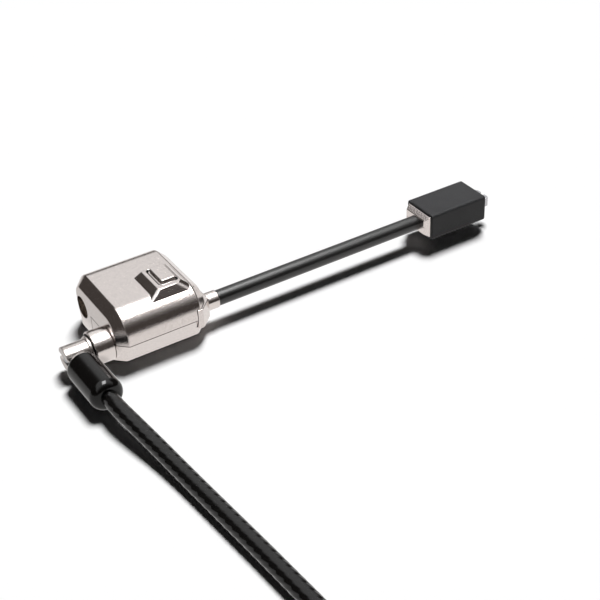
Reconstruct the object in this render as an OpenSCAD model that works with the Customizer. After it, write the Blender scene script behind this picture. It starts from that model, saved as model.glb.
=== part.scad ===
// Cable lock for the security slot of a portable computer.
// Lengths are millimetres. Working places are measured from the left end, the front and the underside of the
// lock body: X runs along the tube towards the head, Y to the back, Z up. placed() then moves everything so
// that the origin lies under the middle of the lock, leaving out the free cable.

/* [Lock body] */
// Length of the lock body along the tube
body_l = 27.2; // [26.8:0.1:32]
// Depth of the lock body, front to back
body_d = 30.5; // [30:0.1:36]
// Height of the lock body's flat top
body_h = 15.6; // [15.4:0.1:18]
// Chamfer round both ends of the body
end_chamfer = 2.7; // [1.5:0.1:3]
// Height of the parting plane between the shells
part_z = 6.8; // [6.6:0.1:7.4]
// Gap that shows as the parting line
seam = 0.1; // [0.06:0.02:0.2]
// Radius of the top front edge
front_round = 8; // [7:0.1:8.4]
// Angle of the crease between the flat top and the rounded front
front_crease = 8; // [0:1:10]
// Radius of the top back edge
back_round = 6; // [4:0.1:7]
// How far the front leans in at the underside
front_lean = 3.4; // [1:0.1:4]
// How far the back leans in at the underside
back_lean = 1.2; // [0.5:0.1:2]
// Thickness of the shell behind the lock cylinder
back_wall = 1.8; // [1.5:0.1:2.5]
// Width of the upper shell's left end in front of the lock cylinder
pod_wall = 1.1; // [0.8:0.1:1.5]
// Fixed clearance between parts that are clamped or pressed together
seat_gap = 0.04; // [0.02:0.01:0.08]

/* [Push button] */
// Distance of the button's middle from the body's right end
button_end = 7.6; // [7.4:0.1:7.8]
// Middle of the button from the front
button_y = 12; // [11.5:0.1:12.5]
// Length of the pad along the body
pad_l = 4.4; // [4:0.1:5]
// Width of the pad, front to back
pad_w = 7.6; // [7:0.1:8]
// Width of the step on the left of the pad and at its front
ledge_w = 0.75; // [0.6:0.05:0.9]
// Corner radius of the pad
pad_round = 0.5; // [0.3:0.1:0.7]
// Gap round the button in its pocket
pocket_gap = 0.25; // [0.15:0.05:0.35]
// Width of the bezel's rim on the left
bezel_w = 1.1; // [0.8:0.1:1.3]
// Width of the bezel's rim at the front
bezel_front = 1.5; // [1:0.1:1.6]
// Width of the bezel's rim on the right and at the back
bezel_thin = 0.4; // [0.3:0.1:0.6]
// Height of the bezel over the flat top
bezel_h = 1.4; // [0.8:0.1:1.6]
// Width of the bezel's left ramp
ramp_left = 2.2; // [1:0.1:3]
// Width of the bezel's front ramp
ramp_front = 0.95; // [0.5:0.05:1.2]
// Width of the bezel's right ramp
ramp_right = 1.6; // [0.4:0.1:1.8]
// Width of the bezel's back ramp
ramp_back = 0.3; // [0.2:0.1:0.6]
// How far the pad stands over the bezel
pad_rise = 0.6; // [0.3:0.1:1]
// How far the step lies under the bezel
ledge_drop = 0.25; // [0.1:0.05:0.5]
// Travel of the button
button_travel = 1.5; // [1:0.1:1.6]
// Width of the flange that keeps the button in
flange_w = 0.9; // [0.6:0.1:1]
// Width of that flange behind the pad
flange_back = 1.5; // [1.4:0.1:1.6]
// Thickness of that flange
flange_t = 1; // [0.8:0.1:1.2]
// Width of the button's stem, front to back
stem_w = 4.6; // [4:0.1:4.8]

/* [Mechanism] */
// Height of the chamber's floor
chamber_z0 = 4.4; // [4:0.1:4.6]
// Height of the chamber's ceiling
chamber_z1 = 12.4; // [12.2:0.1:12.8]
// Front of the chamber from the body's front
chamber_y0 = 4.2; // [3.8:0.1:4.3]
// Shell left at the right end of the chamber
chamber_end = 2.9; // [2.7:0.1:3]
// Running clearance of the moving parts inside
run_gap = 0.15; // [0.1:0.05:0.25]
// Distance of the wedge carriage's left end from the button's middle
carriage_back = 2.6; // [2.4:0.1:2.7]
// Length of the wedge carriage
carriage_l = 3.4; // [3.2:0.1:3.5]
// Height of the wedge carriage
carriage_h = 4.5; // [4:0.1:4.6]
// Diameter of the inner wire
wire_d = 1.5; // [1:0.1:1.8]
// Length of the stop crimped on the wire
stop_l = 2.4; // [1.8:0.1:2.8]
// Diameter of that stop
stop_d = 2.8; // [2.4:0.1:3.2]
// Wire diameter of the springs
spring_wire = 0.3; // [0.24:0.02:0.34]
// Mean diameter of the return spring on the wire
return_spring_d = 3; // [2.6:0.1:3.4]
// Mean diameter of the spring under the button
button_spring_d = 1.6; // [1.4:0.1:1.8]
// Mean diameter of the spring behind the latch
latch_spring_d = 1.4; // [1.2:0.1:1.6]

/* [Key lock] */
// Diameter of the keyhole
keyhole_d = 6.6; // [6:0.1:7]
// Depth of the keyhole's mouth in the shell
mouth_l = 2.6; // [2:0.1:3]
// How far the core stands back behind the mouth
core_back = 1.8; // [1.7:0.1:2.2]
// Outside diameter of the lock cylinder
cylinder_d = 8.6; // [8:0.1:9]
// Diameter of the key core
core_d = 6.2; // [5.6:0.1:6.4]
// Running clearance of the core and the fork
core_gap = 0.05; // [0.02:0.01:0.1]
// Width of the key slot
keyway_w = 1.2; // [1:0.1:1.4]
// Height of the key slot
keyway_h = 4.4; // [4:0.1:4.6]
// Number of wafers in the core
wafers = 5; // [3:1:5]
// Thickness of a wafer
wafer_t = 0.7; // [0.5:0.1:0.9]
// Width of a wafer
wafer_w = 3.5; // [3:0.1:3.5]
// Height of a wafer
wafer_h = 4.8; // [4.6:0.1:4.8]
// Side of the core's square tail
tail_w = 2.1; // [1.8:0.1:2.3]
// Throw of the cam, which is the travel of the latch
cam_throw = 1.4; // [1:0.1:1.5]
// Diameter of the cam's crank pin
crank_d = 1.2; // [1:0.1:1.4]
// Diameter of the cam
cam_d = 4.6; // [4.4:0.1:5]
// Thickness of the cam and of the latch bolt
cam_t = 1.4; // [1:0.1:1.5]
// Height of the latch bolt's bar
latch_h = 2; // [1.6:0.1:2.2]
// Overlap of the latch's nose with the carriage
latch_hold = 0.6; // [0.5:0.1:0.7]
// Slack of the crank pin in the latch, each side
crank_slack = 0.4; // [0.35:0.05:0.5]
// Wall of the latch round the crank pin
yoke_wall = 0.6; // [0.5:0.1:0.7]

/* [Swivel] */
// Diameter of the swivel barrel
barrel_d = 9.6; // [9:0.1:9.8]
// Length of the barrel outside the body
barrel_l = 5.4; // [4.5:0.1:7]
// Middle of the barrel from the body's front
barrel_y = 7.8; // [7.6:0.1:8.4]
// Height of the barrel's underside over the floor
barrel_lift = 0.1; // [0.05:0.05:0.3]
// Diameter of the barrel's shank in the body
shank_d = 7.8; // [7:0.1:8]
// Length of the barrel's shank in the body
shank_l = 7; // [6.5:0.1:7.2]
// Diameter of the fork's journal in the barrel
journal_d = 4.5; // [4:0.1:4.8]
// Diameter of the clip on the journal
clip_d = 6.2; // [5.8:0.1:6.4]
// Thickness of the clips on the journal and the core
clip_t = 0.6; // [0.4:0.1:0.7]
// Diameter of the fork
fork_d = 6.8; // [6.4:0.1:7.2]
// Length of the fork outside the barrel
fork_l = 7.5; // [7.2:0.1:8.5]
// Diameter of the fork's thin flange
fork_flange_d = 7.8; // [7.2:0.1:8.4]
// Thickness of that flange
fork_flange_t = 0.8; // [0.5:0.1:1]
// Radius that the fork's corners are turned to, about its pin
fork_turn_r = 4; // [3.8:0.1:4.1]
// Distance of the fork pin from the fork's end
pin_back = 2.8; // [2.7:0.1:3]
// Diameter of the fork pin
fork_pin_d = 2.4; // [2:0.1:2.6]
// Thickness of the cable terminal's tongue
tongue_t = 1.5; // [1.2:0.1:1.8]
// Width of the cable terminal's tongue
tongue_w = 4.4; // [4:0.1:4.8]
// Wall of the tongue round the fork pin
tongue_wall = 1.5; // [1.2:0.1:1.6]
// Clearance of the tongue in the fork's slot, each side
tongue_gap = 0.1; // [0.05:0.05:0.2]

/* [Cable] */
// Diameter of the coated cable
cable_d = 4.6; // [4:0.1:5]
// Turn of the cable from square to the barrel, in degrees
cable_turn = 1; // [0:0.5:3]
// Diameter of the boot
boot_d = 9.2; // [8.8:0.1:9.6]
// Start of the boot from the fork pin
boot_start = 4.3; // [4.3:0.1:5]
// Length of the boot
boot_l = 17.4; // [14:0.1:20]
// Rounding of the boot's ends
boot_round = 2.4; // [1:0.1:3]
// Diameter of the terminal's crimped sleeve
crimp_d = 6.6; // [6:0.1:7]
// Depth of the crimped sleeve in the boot
crimp_in = 1.5; // [1:0.1:2]
// Length of the terminal's crimped sleeve
crimp_l = 9; // [7:0.5:10]
// Outer radius of the coil to the cable's middle
coil_r = 33; // [32:0.5:40]
// Loops in the coil
coil_loops = 9; // [5:1:9]
// Gap between the loops of a layer
loop_gap = 0.8; // [0.6:0.1:1]
// Gap between the layers
layer_gap = 0.7; // [0.6:0.1:1]
// Thickness of the tie round the coil
tie_t = 1; // [0.8:0.1:1.2]
// Width of the tie
tie_w = 8; // [6:0.5:9]
// Clearance between the tie and the cable
tie_gap = 0.6; // [0.5:0.1:0.8]
// Length of the ferrule on the end loop
loop_ferrule_l = 14; // [10:0.5:18]
// Wall of the ferrule on the end loop
loop_ferrule_t = 1; // [0.8:0.1:1.4]
// Radius of the end loop to the cable's middle
eye_r = 18; // [18:0.5:22]

/* [Tube] */
// Middle of the tube from the body's front
tube_y = 6.5; // [6.4:0.1:6.8]
// Diameter of the sheath
sheath_d = 4.5; // [4:0.1:4.8]
// Diameter of the hole through the sheath
sheath_bore = 1.9; // [1.9:0.1:2.2]
// Diameter of the ferrule
ferrule_d = 5.1; // [5:0.1:5.4]
// Length of the ferrule outside the block
ferrule_l = 3.4; // [2.5:0.1:5]
// Thickness of the ferrule's inner end
ferrule_end = 1; // [0.8:0.1:1.2]
// How far the block reaches into the body at the front
block_in = 3.8; // [3.6:0.1:4]
// How far the block stands out past the body's end
block_out = 1.6; // [1:0.1:2.5]
// Length of the block's flat at the front
block_flat = 1.6; // [1.2:0.1:2]
// How far the block's front is set back
block_inset = 0.15; // [0.05:0.05:0.3]
// Depth of the block's front tab
block_tab = 2.4; // [2:0.1:3]
// Back of the block from the body's front
block_y = 11; // [10:0.1:12]
// Height of the block
block_h = 6; // [5.6:0.1:6.4]
// Distance from the body's left end to the head's cover
head_x = 102.1; // [90:0.1:140]

/* [Head] */
// Length of the head's cover
head_l = 20.2; // [19.6:0.1:24]
// Width of the head's cover, front to back
head_w = 12.3; // [12.2:0.1:14]
// Height of the head's cover
head_h = 8.3; // [7.9:0.1:9]
// How far the head's middle lies above the tube's axis
head_up = 0.3; // [0:0.1:0.4]
// Wall of the cover
cover_wall = 0.8; // [0.6:0.1:0.9]
// Thickness of the cover's front wall
cover_front = 1; // [0.8:0.1:1.2]
// Rounding of the cover's long edges
cover_round = 0.9; // [0.5:0.1:1.2]
// How far the metal frame stands out of the cover
frame_out = 1.7; // [1.3:0.1:3]
// Bevel round the end of the frame
frame_bevel = 1; // [0.6:0.1:1.3]
// Depth that the sheath goes into the frame
sheath_in = 3.3; // [2.5:0.1:4]
// Distance of the hook pins from the cover's front
hook_back = 9.9; // [9.5:0.1:10.5]
// Distance of a hook pin from the tube's axis
hook_pivot_y = 2.6; // [2.5:0.1:2.8]
// Diameter of the hook pins
hook_pin_d = 1.6; // [1.4:0.1:1.8]
// Radius of the hook's eye round its pin
hook_eye_r = 1.6; // [1.4:0.1:1.7]
// Thickness of the hooks
hook_t = 2.6; // [2.2:0.1:2.8]
// Length of the hook's neck outside the cover
neck_l = 1.8; // [1.5:0.1:3]
// Distance of the neck's outside from the axis
neck_y = 2.2; // [2:0.1:2.4]
// Distance of the barb's outside from the axis
barb_y = 3.3; // [2.8:0.1:3.3]
// Length of the barb
barb_l = 2.1; // [1.6:0.1:2.6]
// Half width of the room between the hooks
hook_room = 0.75; // [0.7:0.05:0.8]
// Half width left between the hooks' cam bumps
bump_room = 0.25; // [0.2:0.05:0.3]
// Length of the cam bumps
bump_l = 1.8; // [1.4:0.1:2]
// Turn of each hook, in degrees
hook_turn = 5; // [3:0.5:5]
// Width of the spreader
spreader_w = 1.1; // [0.9:0.1:1.2]
// Height of the spreader
spreader_h = 2.2; // [1.9:0.1:2.3]
// Length of the spreader
spreader_l = 13; // [12:0.5:14]
// Length of the spreader's tapered tip
spreader_tip = 1.1; // [0.8:0.1:1.4]

/* [Screws] */
// Diameter of the shell screws
screw_d = 1.8; // [1.6:0.1:2]
// Diameter of their heads
screw_head_d = 2.8; // [2.6:0.1:3]
// Height of their heads
screw_head_h = 1.3; // [1:0.1:1.5]
// Depth of the heads under the underside
screw_sunk = 0.4; // [0.2:0.1:0.6]
// Length of the screws under the head
screw_l = 9; // [7:0.5:9.5]

/* [Hidden] */
$fn = 48;

silver = [0.82, 0.79, 0.77];
steel = [0.62, 0.62, 0.64];
brass = [0.78, 0.64, 0.36];
black = [0.09, 0.09, 0.1];
charcoal = [0.2, 0.2, 0.21];
cut = 1;
arc_steps = 12;

// Places along the tube
tube_z = part_z;
block_x = body_l - block_in;
block_end = body_l + block_out;
chamber_x1 = body_l - chamber_end;
ferrule_x0 = chamber_x1 + ferrule_end;
ferrule_x1 = block_end + ferrule_l;
frame_x0 = head_x - frame_out;
head_z = tube_z + head_up;
head_end = head_x + head_l;
frame_x1 = head_end - cover_front - seat_gap;
frame_w = head_w - 2 * cover_wall;
frame_h = head_h - 2 * cover_wall;
sheath_x0 = ferrule_x0 + ferrule_end;
sheath_x1 = frame_x0 + sheath_in;
hook_x = head_end - hook_back;
barb_x = head_end + neck_l;
hook_tip = barb_x + barb_l;
bump_x = head_end - cover_front - bump_l;
spreader_x1 = bump_x - 2 * run_gap;
spreader_x0 = spreader_x1 - spreader_l;

// Places of the button and the chamber
button_x = body_l - button_end;
carriage_x = button_x - carriage_back;
pocket_w = ledge_w + pocket_gap;
bezel_top = body_h + bezel_h;
flange_z1 = chamber_z1 - run_gap;
flange_z0 = flange_z1 - flange_t;
flange_x1 = button_x + pad_l / 2 + flange_back;
flange_y1 = button_y + pad_w / 2 + flange_back;
chamber_x0 = carriage_x - stop_l - cut;
chamber_y1 = flange_y1 + 5 * run_gap;
carriage_z0 = chamber_z0 + run_gap;
carriage_z1 = carriage_z0 + carriage_h;
carriage_y0 = chamber_y0 + 4 * run_gap;
latch_nose = button_y + stem_w / 2 + 2 * run_gap;
carriage_y1 = latch_nose + latch_hold;
wedge_y0 = button_y - stem_w / 2 - run_gap;
wedge_drop = carriage_x - carriage_z0 - button_travel;
stem_x0 = carriage_x - run_gap;
stem_x1 = carriage_x + carriage_l - 4 * run_gap;
spring_seat = button_spring_d + spring_wire + 2 * run_gap;
button_spring_x = flange_x1 - spring_seat / 2 - run_gap;
button_spring_y = flange_y1 - spring_seat / 2;

// Places of the key lock
key_y = body_d - back_wall - cylinder_d / 2;
key_z = part_z;
core_x0 = mouth_l + core_back;
latch_x0 = carriage_x + 2 * run_gap;
latch_x1 = latch_x0 + cam_t;
cam_x1 = latch_x0 - 3 * run_gap;
cam_x0 = cam_x1 - cam_t;
cylinder_x1 = cam_x0 - clip_t - run_gap;
cam_room = latch_x1 + 5 * run_gap;
yoke_y = crank_d / 2 + crank_slack;
yoke_y1 = key_y + yoke_y + yoke_wall;
pod_l = mouth_l + run_gap;
pod_y = key_y - cylinder_d / 2 - pod_wall;

// Places of the swivel and the cable
barrel_z = barrel_d / 2 + barrel_lift;
fork_x1 = -barrel_l - run_gap;
fork_end = fork_x1 - fork_l;
pin_x = fork_end + pin_back;
slot_h = tongue_t + 2 * tongue_gap;
tongue_r = fork_pin_d / 2 + tongue_wall;
slot_x1 = pin_x + tongue_r + run_gap;
clip_room = clip_t + 4 * run_gap;
journal_x1 = shank_l - clip_room - run_gap;
boot_end = boot_start + boot_l;
sleeve = boot_start + crimp_in;
cable_floor = cable_d / 2 - barrel_z;

// The origin lies under the middle of the lock without its free cable
mid_x = (fork_end + hook_tip) / 2;
mid_y = body_d / 2;

// Screws: X and Y of each, clear of the barrel, the chamber and the lock cylinder
screw_edge = 2.5;
screw_places = [
    [shank_l - screw_edge, (barrel_y + shank_d / 2 + key_y - cylinder_d / 2) / 2],
    [(shank_l + chamber_x0) / 2, barrel_y],
    [body_l - screw_edge, key_y - screw_edge]
];

// Free stretch of the cable from the boot to the coil, seen from the fork pin: X, Y and height over the floor
// of the cable's middle. It runs out of the boot and comes down to the floor.
coil_lift = tie_t + tie_gap;
coil_x = 7;
coil_y = -194;
floor_run = [
    [0.8, -34, 4.3], [2, -44, 3.2], [2.9, -54, 2.5], [3.6, -64, 2.3], [4.3, -75, 2.3], [5, -86, 2.3],
    [5.6, -97, 2.3], [6.2, -108, 2.3], [6.6, -119, 2.4], [6.9, -130, 2.6], [7, -145, 3], [7, -160, 3.5],
    [7, -173, 3.8]
];
boot_exit = [[0, -boot_end, 0], [0, -boot_end - cable_d, 0]];
coil_z = cable_floor + coil_lift;
coil_entry = [[coil_x, coil_y + 2 * cable_d, coil_z], [coil_x, coil_y + cable_d, coil_z]];
cable_path = concat(
    boot_exit,
    [for (p = floor_run) [p[0], p[1], p[2] - barrel_z]],
    coil_entry
);

// The coil: loops spiral in and out in layers and climb half a turn wide where the spiral turns back. Near
// its end the cable climbs over the tie.
coil_layers = 4;
tail_climb = 0.3;
rings_per_loop = 24;
layer_loops = coil_loops / coil_layers;
loop_step = cable_d + loop_gap;
layer_step = cable_d + layer_gap;
coil_in_r = coil_r - layer_loops * loop_step;
function ease(t) = let (u = max(0, min(1, t))) u * u * (3 - 2 * u);
function coil_layer(u) = min(coil_layers - 1, floor(u / layer_loops));
function coil_swing(u) =
    let (k = coil_layer(u), w = u / layer_loops - k)
    k % 2 == 0 ? w : 1 - w;
function coil_radius(u) = coil_r - coil_swing(u) * (coil_r - coil_in_r);
tail_rise = cable_d / 2 + tie_gap + tie_t + cable_d / 2 + tie_gap / 2;
function coil_rise(u) =
    layer_step * sum([for (k = [1:coil_layers - 1]) ease(2 * (u - k * layer_loops) + 0.5)])
    + tail_rise * ease((u - coil_loops + tail_climb) / (1.5 * tail_climb));
function sum(v, i = 0) = i < len(v) ? v[i] + sum(v, i + 1) : 0;
function coil_point(u) = [
    coil_x + coil_r - coil_radius(u) * cos(360 * u),
    -coil_radius(u) * sin(360 * u) + coil_y,
    coil_rise(u) + coil_z
];
coil_top = coil_z + (coil_layers - 1) * layer_step;

// The end turns in over the coil and lies across it: a tighter quarter turn, then straight into the ferrule
tail_r = 18;
tail_turn = 15;
function tail_point(a) = [
    coil_x + tail_r * (1 - cos(a)),
    coil_y - tail_r * sin(a),
    coil_rise(coil_loops + tail_r * a / (360 * coil_r)) + coil_z
];
tail_start = tail_point(90);
tail_x = tail_start[0] + cable_d;
tail_y = tail_start[1];
tail_z = tail_start[2];
coil_path = concat(
    [[coil_x, coil_y + cable_d, coil_z]],
    [for (i = [0:coil_loops * rings_per_loop]) coil_point(i / rings_per_loop)],
    [for (a = [tail_turn:tail_turn:90]) tail_point(a)],
    [[tail_x, tail_y, tail_z]]
);

// The end loop leaves the ferrule beside the cable, bends outwards into the eye and comes back the same way
eye_side = cable_d / 2 + loop_gap / 2;
eye_x = tail_x + loop_ferrule_l + cable_d;
throat_r = 20;
throat_x = eye_side + throat_r;
eye_run = sqrt((throat_r + eye_r) * (throat_r + eye_r) - throat_x * throat_x);
eye_turn = atan2(eye_run, throat_x);
function throat(t) = [throat_x - throat_r * cos(eye_turn * t), throat_r * sin(eye_turn * t)];
function eye(t) =
    let (a = (180 + 2 * eye_turn) * t - eye_turn)
    [eye_r * cos(a), eye_run + eye_r * sin(a)];
eye_outline = concat(
    [[eye_side, -cable_d]],
    [for (i = [0:4]) throat(i / 4)],
    [for (i = [1:19]) eye(i / 20)],
    [for (i = [4:-1:0]) [-throat(i / 4)[0], throat(i / 4)[1]]],
    [[-eye_side, -cable_d]]
);
eye_path = [for (p = eye_outline) [eye_x + p[1], tail_y + eye_side - p[0], tail_z]];

// Least gap of the coil to itself, measured between its rings more than half a loop apart
function least_gap(path, skip) =
    min([
        for (i = [0:len(path) - 1 - skip]) for (j = [i + skip:len(path) - 1]) norm(path[i] - path[j])
    ]) - cable_d;
function path_length(path, i = 0) =
    i < len(path) - 1 ? norm(path[i + 1] - path[i]) + path_length(path, i + 1) : 0;
echo(coil_least_gap = least_gap(coil_path, rings_per_loop / 2));
echo(eye_least_gap = least_gap(eye_path, 6));
made_length = path_length(cable_path) + path_length(coil_path) + path_length(eye_path);
echo(cable_length = made_length + loop_ferrule_l);

// Moves a piece from its working place to the lock's own frame
module placed() {
    translate([-mid_x, -mid_y, 0]) children();
}

// Frame of the cable: origin on the fork pin at the barrel's height, the cable leaving along -Y
module cable_placed() {
    placed() translate([pin_x, barrel_y, barrel_z]) rotate([0, 0, cable_turn]) children();
}

module box(x0, x1, y0, y1, z0, z1) {
    translate([x0, y0, z0]) cube([x1 - x0, y1 - y0, z1 - z0]);
}

module rod_x(x0, x1, d, y, z) {
    translate([x0, y, z]) rotate([0, 90, 0]) cylinder(h = x1 - x0, d = d);
}

module rod_z(z0, z1, d, x, y) {
    translate([x, y, z0]) cylinder(h = z1 - z0, d = d);
}

// A box about the tube's axis, given its width and height
module on_axis(x0, x1, w, h) {
    box(x0, x1, tube_y - w / 2, tube_y + w / 2, tube_z - h / 2, tube_z + h / 2);
}

module rounded_rect(w, h, r) {
    square([w - 2 * r, h], center = true);
    square([w, h - 2 * r], center = true);
    for (x = [-1, 1]) {
        for (y = [-1, 1]) {
            translate([x * (w / 2 - r), y * (h / 2 - r)]) circle(r);
        }
    }
}

// A round tube of flat triangles along a list of points, none of them above another
function unit(v) = v / norm(v);
function way(path, i) = unit(path[min(i + 1, len(path) - 1)] - path[max(i - 1, 0)]);
function ring(path, i, r, sides) =
    let (t = way(path, i), s = unit(cross(t, [0, 0, 1])), n = cross(s, t))
    [for (k = [0:sides - 1]) path[i] + r * (cos(360 * k / sides) * s + sin(360 * k / sides) * n)];
module swept_tube(path, d, sides) {
    last = (len(path) - 1) * sides;
    points = [for (i = [0:len(path) - 1]) each ring(path, i, d / 2, sides)];
    skin = [
        for (i = [0:len(path) - 2]) for (k = [0:sides - 1])
            let (a = i * sides + k, b = i * sides + (k + 1) % sides)
            each [[a, b, a + sides], [b, b + sides, a + sides]]
    ];
    ends = [for (k = [1:sides - 2]) each [[0, k + 1, k], [last, last + k, last + k + 1]]];
    polyhedron(points = points, faces = concat(skin, ends), convexity = 10);
}

// A coil spring standing on Z = 0
module spring(d, length, coils) {
    steps = coils * 8;
    lift = spring_wire / 2 + seat_gap;
    swept_tube(
        [for (i = [0:steps]) [
            d / 2 * cos(45 * i), d / 2 * sin(45 * i), lift + (length - 2 * lift) * i / steps
        ]],
        spring_wire, 6
    );
}

// Outline of the body seen from its end, drawn in by the chamfer at the ends
function arc(c, r, a0, a1) =
    [for (i = [0:arc_steps]) let (a = a0 + (a1 - a0) * i / arc_steps) c + r * [cos(a), sin(a)]];
function body_outline(inset) = concat(
    [[front_lean + inset, 0], [inset, part_z]],
    arc([front_round, body_h - front_round * cos(front_crease)], front_round - inset, 180, 90 + front_crease),
    arc([body_d - back_round, body_h - back_round], back_round - inset, 90, 0),
    [[body_d - inset, part_z], [body_d - back_lean - inset, 0]]
);

module body_slice(x0, x1, inset) {
    translate([x0, 0, 0]) rotate([90, 0, 90]) linear_extrude(x1 - x0) polygon(body_outline(inset));
}

// Chamfered body, with a boss at the left end that the swivel barrel stands on
module body_solid() {
    hull() {
        body_slice(0, body_l, end_chamfer);
        body_slice(end_chamfer, body_l - end_chamfer, 0);
    }
    rod_x(0, end_chamfer, barrel_d, barrel_y, barrel_z);
}

// Outline of the button grown to its left and front, and by another amount to its right and back
module button_outline(grow, rest, r) {
    shift = (rest - grow) / 2;
    translate([button_x + shift, button_y + shift])
        rounded_rect(pad_l + grow + rest, pad_w + grow + rest, r);
}

// Raised bezel round the button, with a ramp on each side that runs down into the body
module bezel() {
    x0 = button_x - pad_l / 2 - pocket_w - bezel_w;
    x1 = button_x + pad_l / 2 + pocket_gap + bezel_thin;
    y0 = button_y - pad_w / 2 - pocket_w - bezel_front;
    y1 = button_y + pad_w / 2 + pocket_gap + bezel_thin;
    deep = 1.9;
    skin = 0.01;
    hull() {
        box(x0, x1, y0, y1, bezel_top - skin, bezel_top);
        box(
            x0 - ramp_left * deep, x1 + ramp_right * deep, y0 - ramp_front * deep, y1 + ramp_back * deep,
            bezel_top - bezel_h * deep, bezel_top - bezel_h * deep + skin
        );
    }
}

// The part of the left end round the keyhole that belongs to the upper shell down to the underside
module key_pod(gap) {
    box(-cut, pod_l + gap, pod_y - gap, body_d + cut, -cut, body_h);
}

module block_room() {
    z0 = part_z - block_h / 2 - seat_gap;
    z1 = part_z + block_h / 2 + seat_gap;
    box(block_x - seat_gap, block_end, -cut, block_tab + seat_gap, z0, z1);
    box(chamber_x1 - seat_gap, block_end, -cut, block_y + seat_gap, z0, z1);
}

// Everything that is hollowed out of the two shells
module hollows() {
    box(chamber_x0, chamber_x1, chamber_y0, chamber_y1, chamber_z0, chamber_z1);
    translate([0, 0, chamber_z1 - cut])
        linear_extrude(body_h) button_outline(pocket_w, pocket_gap, pad_round + pocket_gap);
    rod_x(-cut, mouth_l + cut, keyhole_d, key_y, key_z);
    rod_x(mouth_l - seat_gap, cylinder_x1 + seat_gap, cylinder_d + 2 * seat_gap, key_y, key_z);
    rod_x(cylinder_x1, cam_room, cylinder_d, key_y, key_z);
    box(
        latch_x0 - run_gap, latch_x1 + run_gap, chamber_y1 - cut, key_y,
        key_z - latch_h / 2 - run_gap, key_z + latch_h / 2 + run_gap
    );
    rod_x(-cut, shank_l + seat_gap, shank_d + 2 * seat_gap, barrel_y, barrel_z);
    block_room();
    for (p = screw_places) {
        rod_z(-cut, part_z, screw_d + 6 * seat_gap, p[0], p[1]);
        rod_z(0, screw_sunk + screw_head_h + screw_l + 0.5, screw_d + 2 * seat_gap, p[0], p[1]);
        rod_z(-cut, screw_sunk + screw_head_h, screw_head_d + 6 * seat_gap, p[0], p[1]);
    }
}

module upper_shell() {
    color(silver) placed() difference() {
        union() {
            intersection() {
                body_solid();
                union() {
                    box(-cut, body_l + cut, -cut, body_d + cut, part_z + seam / 2, body_h + cut);
                    key_pod(0);
                }
            }
            bezel();
        }
        hollows();
    }
}

module lower_shell() {
    color(silver) placed() difference() {
        intersection() {
            body_solid();
            box(-cut, body_l + cut, -cut, body_d + cut, -cut, part_z - seam / 2);
        }
        key_pod(seam);
        hollows();
    }
}

module shell_screws() {
    color(steel) placed() for (p = screw_places) {
        difference() {
            rod_z(screw_sunk, screw_sunk + screw_head_h, screw_head_d, p[0], p[1]);
            translate([p[0], p[1], 0]) cylinder(h = screw_sunk + 0.8, d = screw_d, $fn = 6);
        }
        rod_z(screw_sunk + screw_head_h, screw_sunk + screw_head_h + screw_l, screw_d, p[0], p[1]);
    }
}

// Block between the shells that carries the tube, with its front tab and chamfered end
module cable_block() {
    slope = block_end - block_x - block_flat;
    outline = [
        [block_x, block_inset], [block_x + block_flat, block_inset], [block_end, block_inset + slope],
        [block_end, block_y - block_flat], [block_end - block_flat, block_y], [chamber_x1, block_y],
        [chamber_x1, block_tab], [block_x, block_tab]
    ];
    color(silver) placed() difference() {
        translate([0, 0, part_z - block_h / 2]) linear_extrude(block_h) polygon(outline);
        rod_x(chamber_x1 - cut, block_end + cut, sheath_bore, tube_y, tube_z);
        rod_x(ferrule_x0, block_end + cut, ferrule_d + 2 * seat_gap, tube_y, tube_z);
    }
}

module tube_ferrule() {
    color(silver) placed() difference() {
        rod_x(ferrule_x0, ferrule_x1, ferrule_d, tube_y, tube_z);
        rod_x(ferrule_x0 - cut, ferrule_x1 + cut, sheath_bore, tube_y, tube_z);
        rod_x(sheath_x0, ferrule_x1 + cut, sheath_d + seat_gap, tube_y, tube_z);
    }
}

module sheath() {
    color(black) placed() difference() {
        rod_x(sheath_x0, sheath_x1, sheath_d, tube_y, tube_z);
        rod_x(sheath_x0 - cut, sheath_x1 + cut, sheath_bore, tube_y, tube_z);
    }
}

// Bevelled metal frame inside the head's cover
module frame_side(w) {
    polygon([
        [frame_x0, frame_bevel - w / 2], [frame_x0 + frame_bevel, -w / 2], [frame_x1, -w / 2],
        [frame_x1, w / 2], [frame_x0 + frame_bevel, w / 2], [frame_x0, w / 2 - frame_bevel]
    ]);
}

module head_frame() {
    room_w = 2 * (hook_pivot_y + hook_eye_r + 2 * run_gap);
    room_x = hook_x - hook_eye_r - 2 * run_gap;
    color(silver) placed() difference() {
        translate([0, tube_y, head_z]) intersection() {
            translate([0, 0, -frame_h / 2]) linear_extrude(frame_h) frame_side(frame_w);
            rotate([90, 0, 0]) translate([0, 0, -frame_w / 2]) linear_extrude(frame_w) frame_side(frame_h);
        }
        rod_x(frame_x0 - cut, sheath_x1, sheath_d + 2 * seat_gap, tube_y, tube_z);
        rod_x(frame_x0, hook_x, sheath_bore, tube_y, tube_z);
        on_axis(spreader_x0 - run_gap, hook_x, spreader_w + 2 * run_gap, spreader_h + 2 * run_gap);
        on_axis(room_x, frame_x1 + cut, room_w, hook_t + 2 * run_gap);
        for (side = [-1, 1]) {
            rod_z(0, body_h, hook_pin_d + seat_gap, hook_x, tube_y + side * hook_pivot_y);
        }
    }
}

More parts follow.
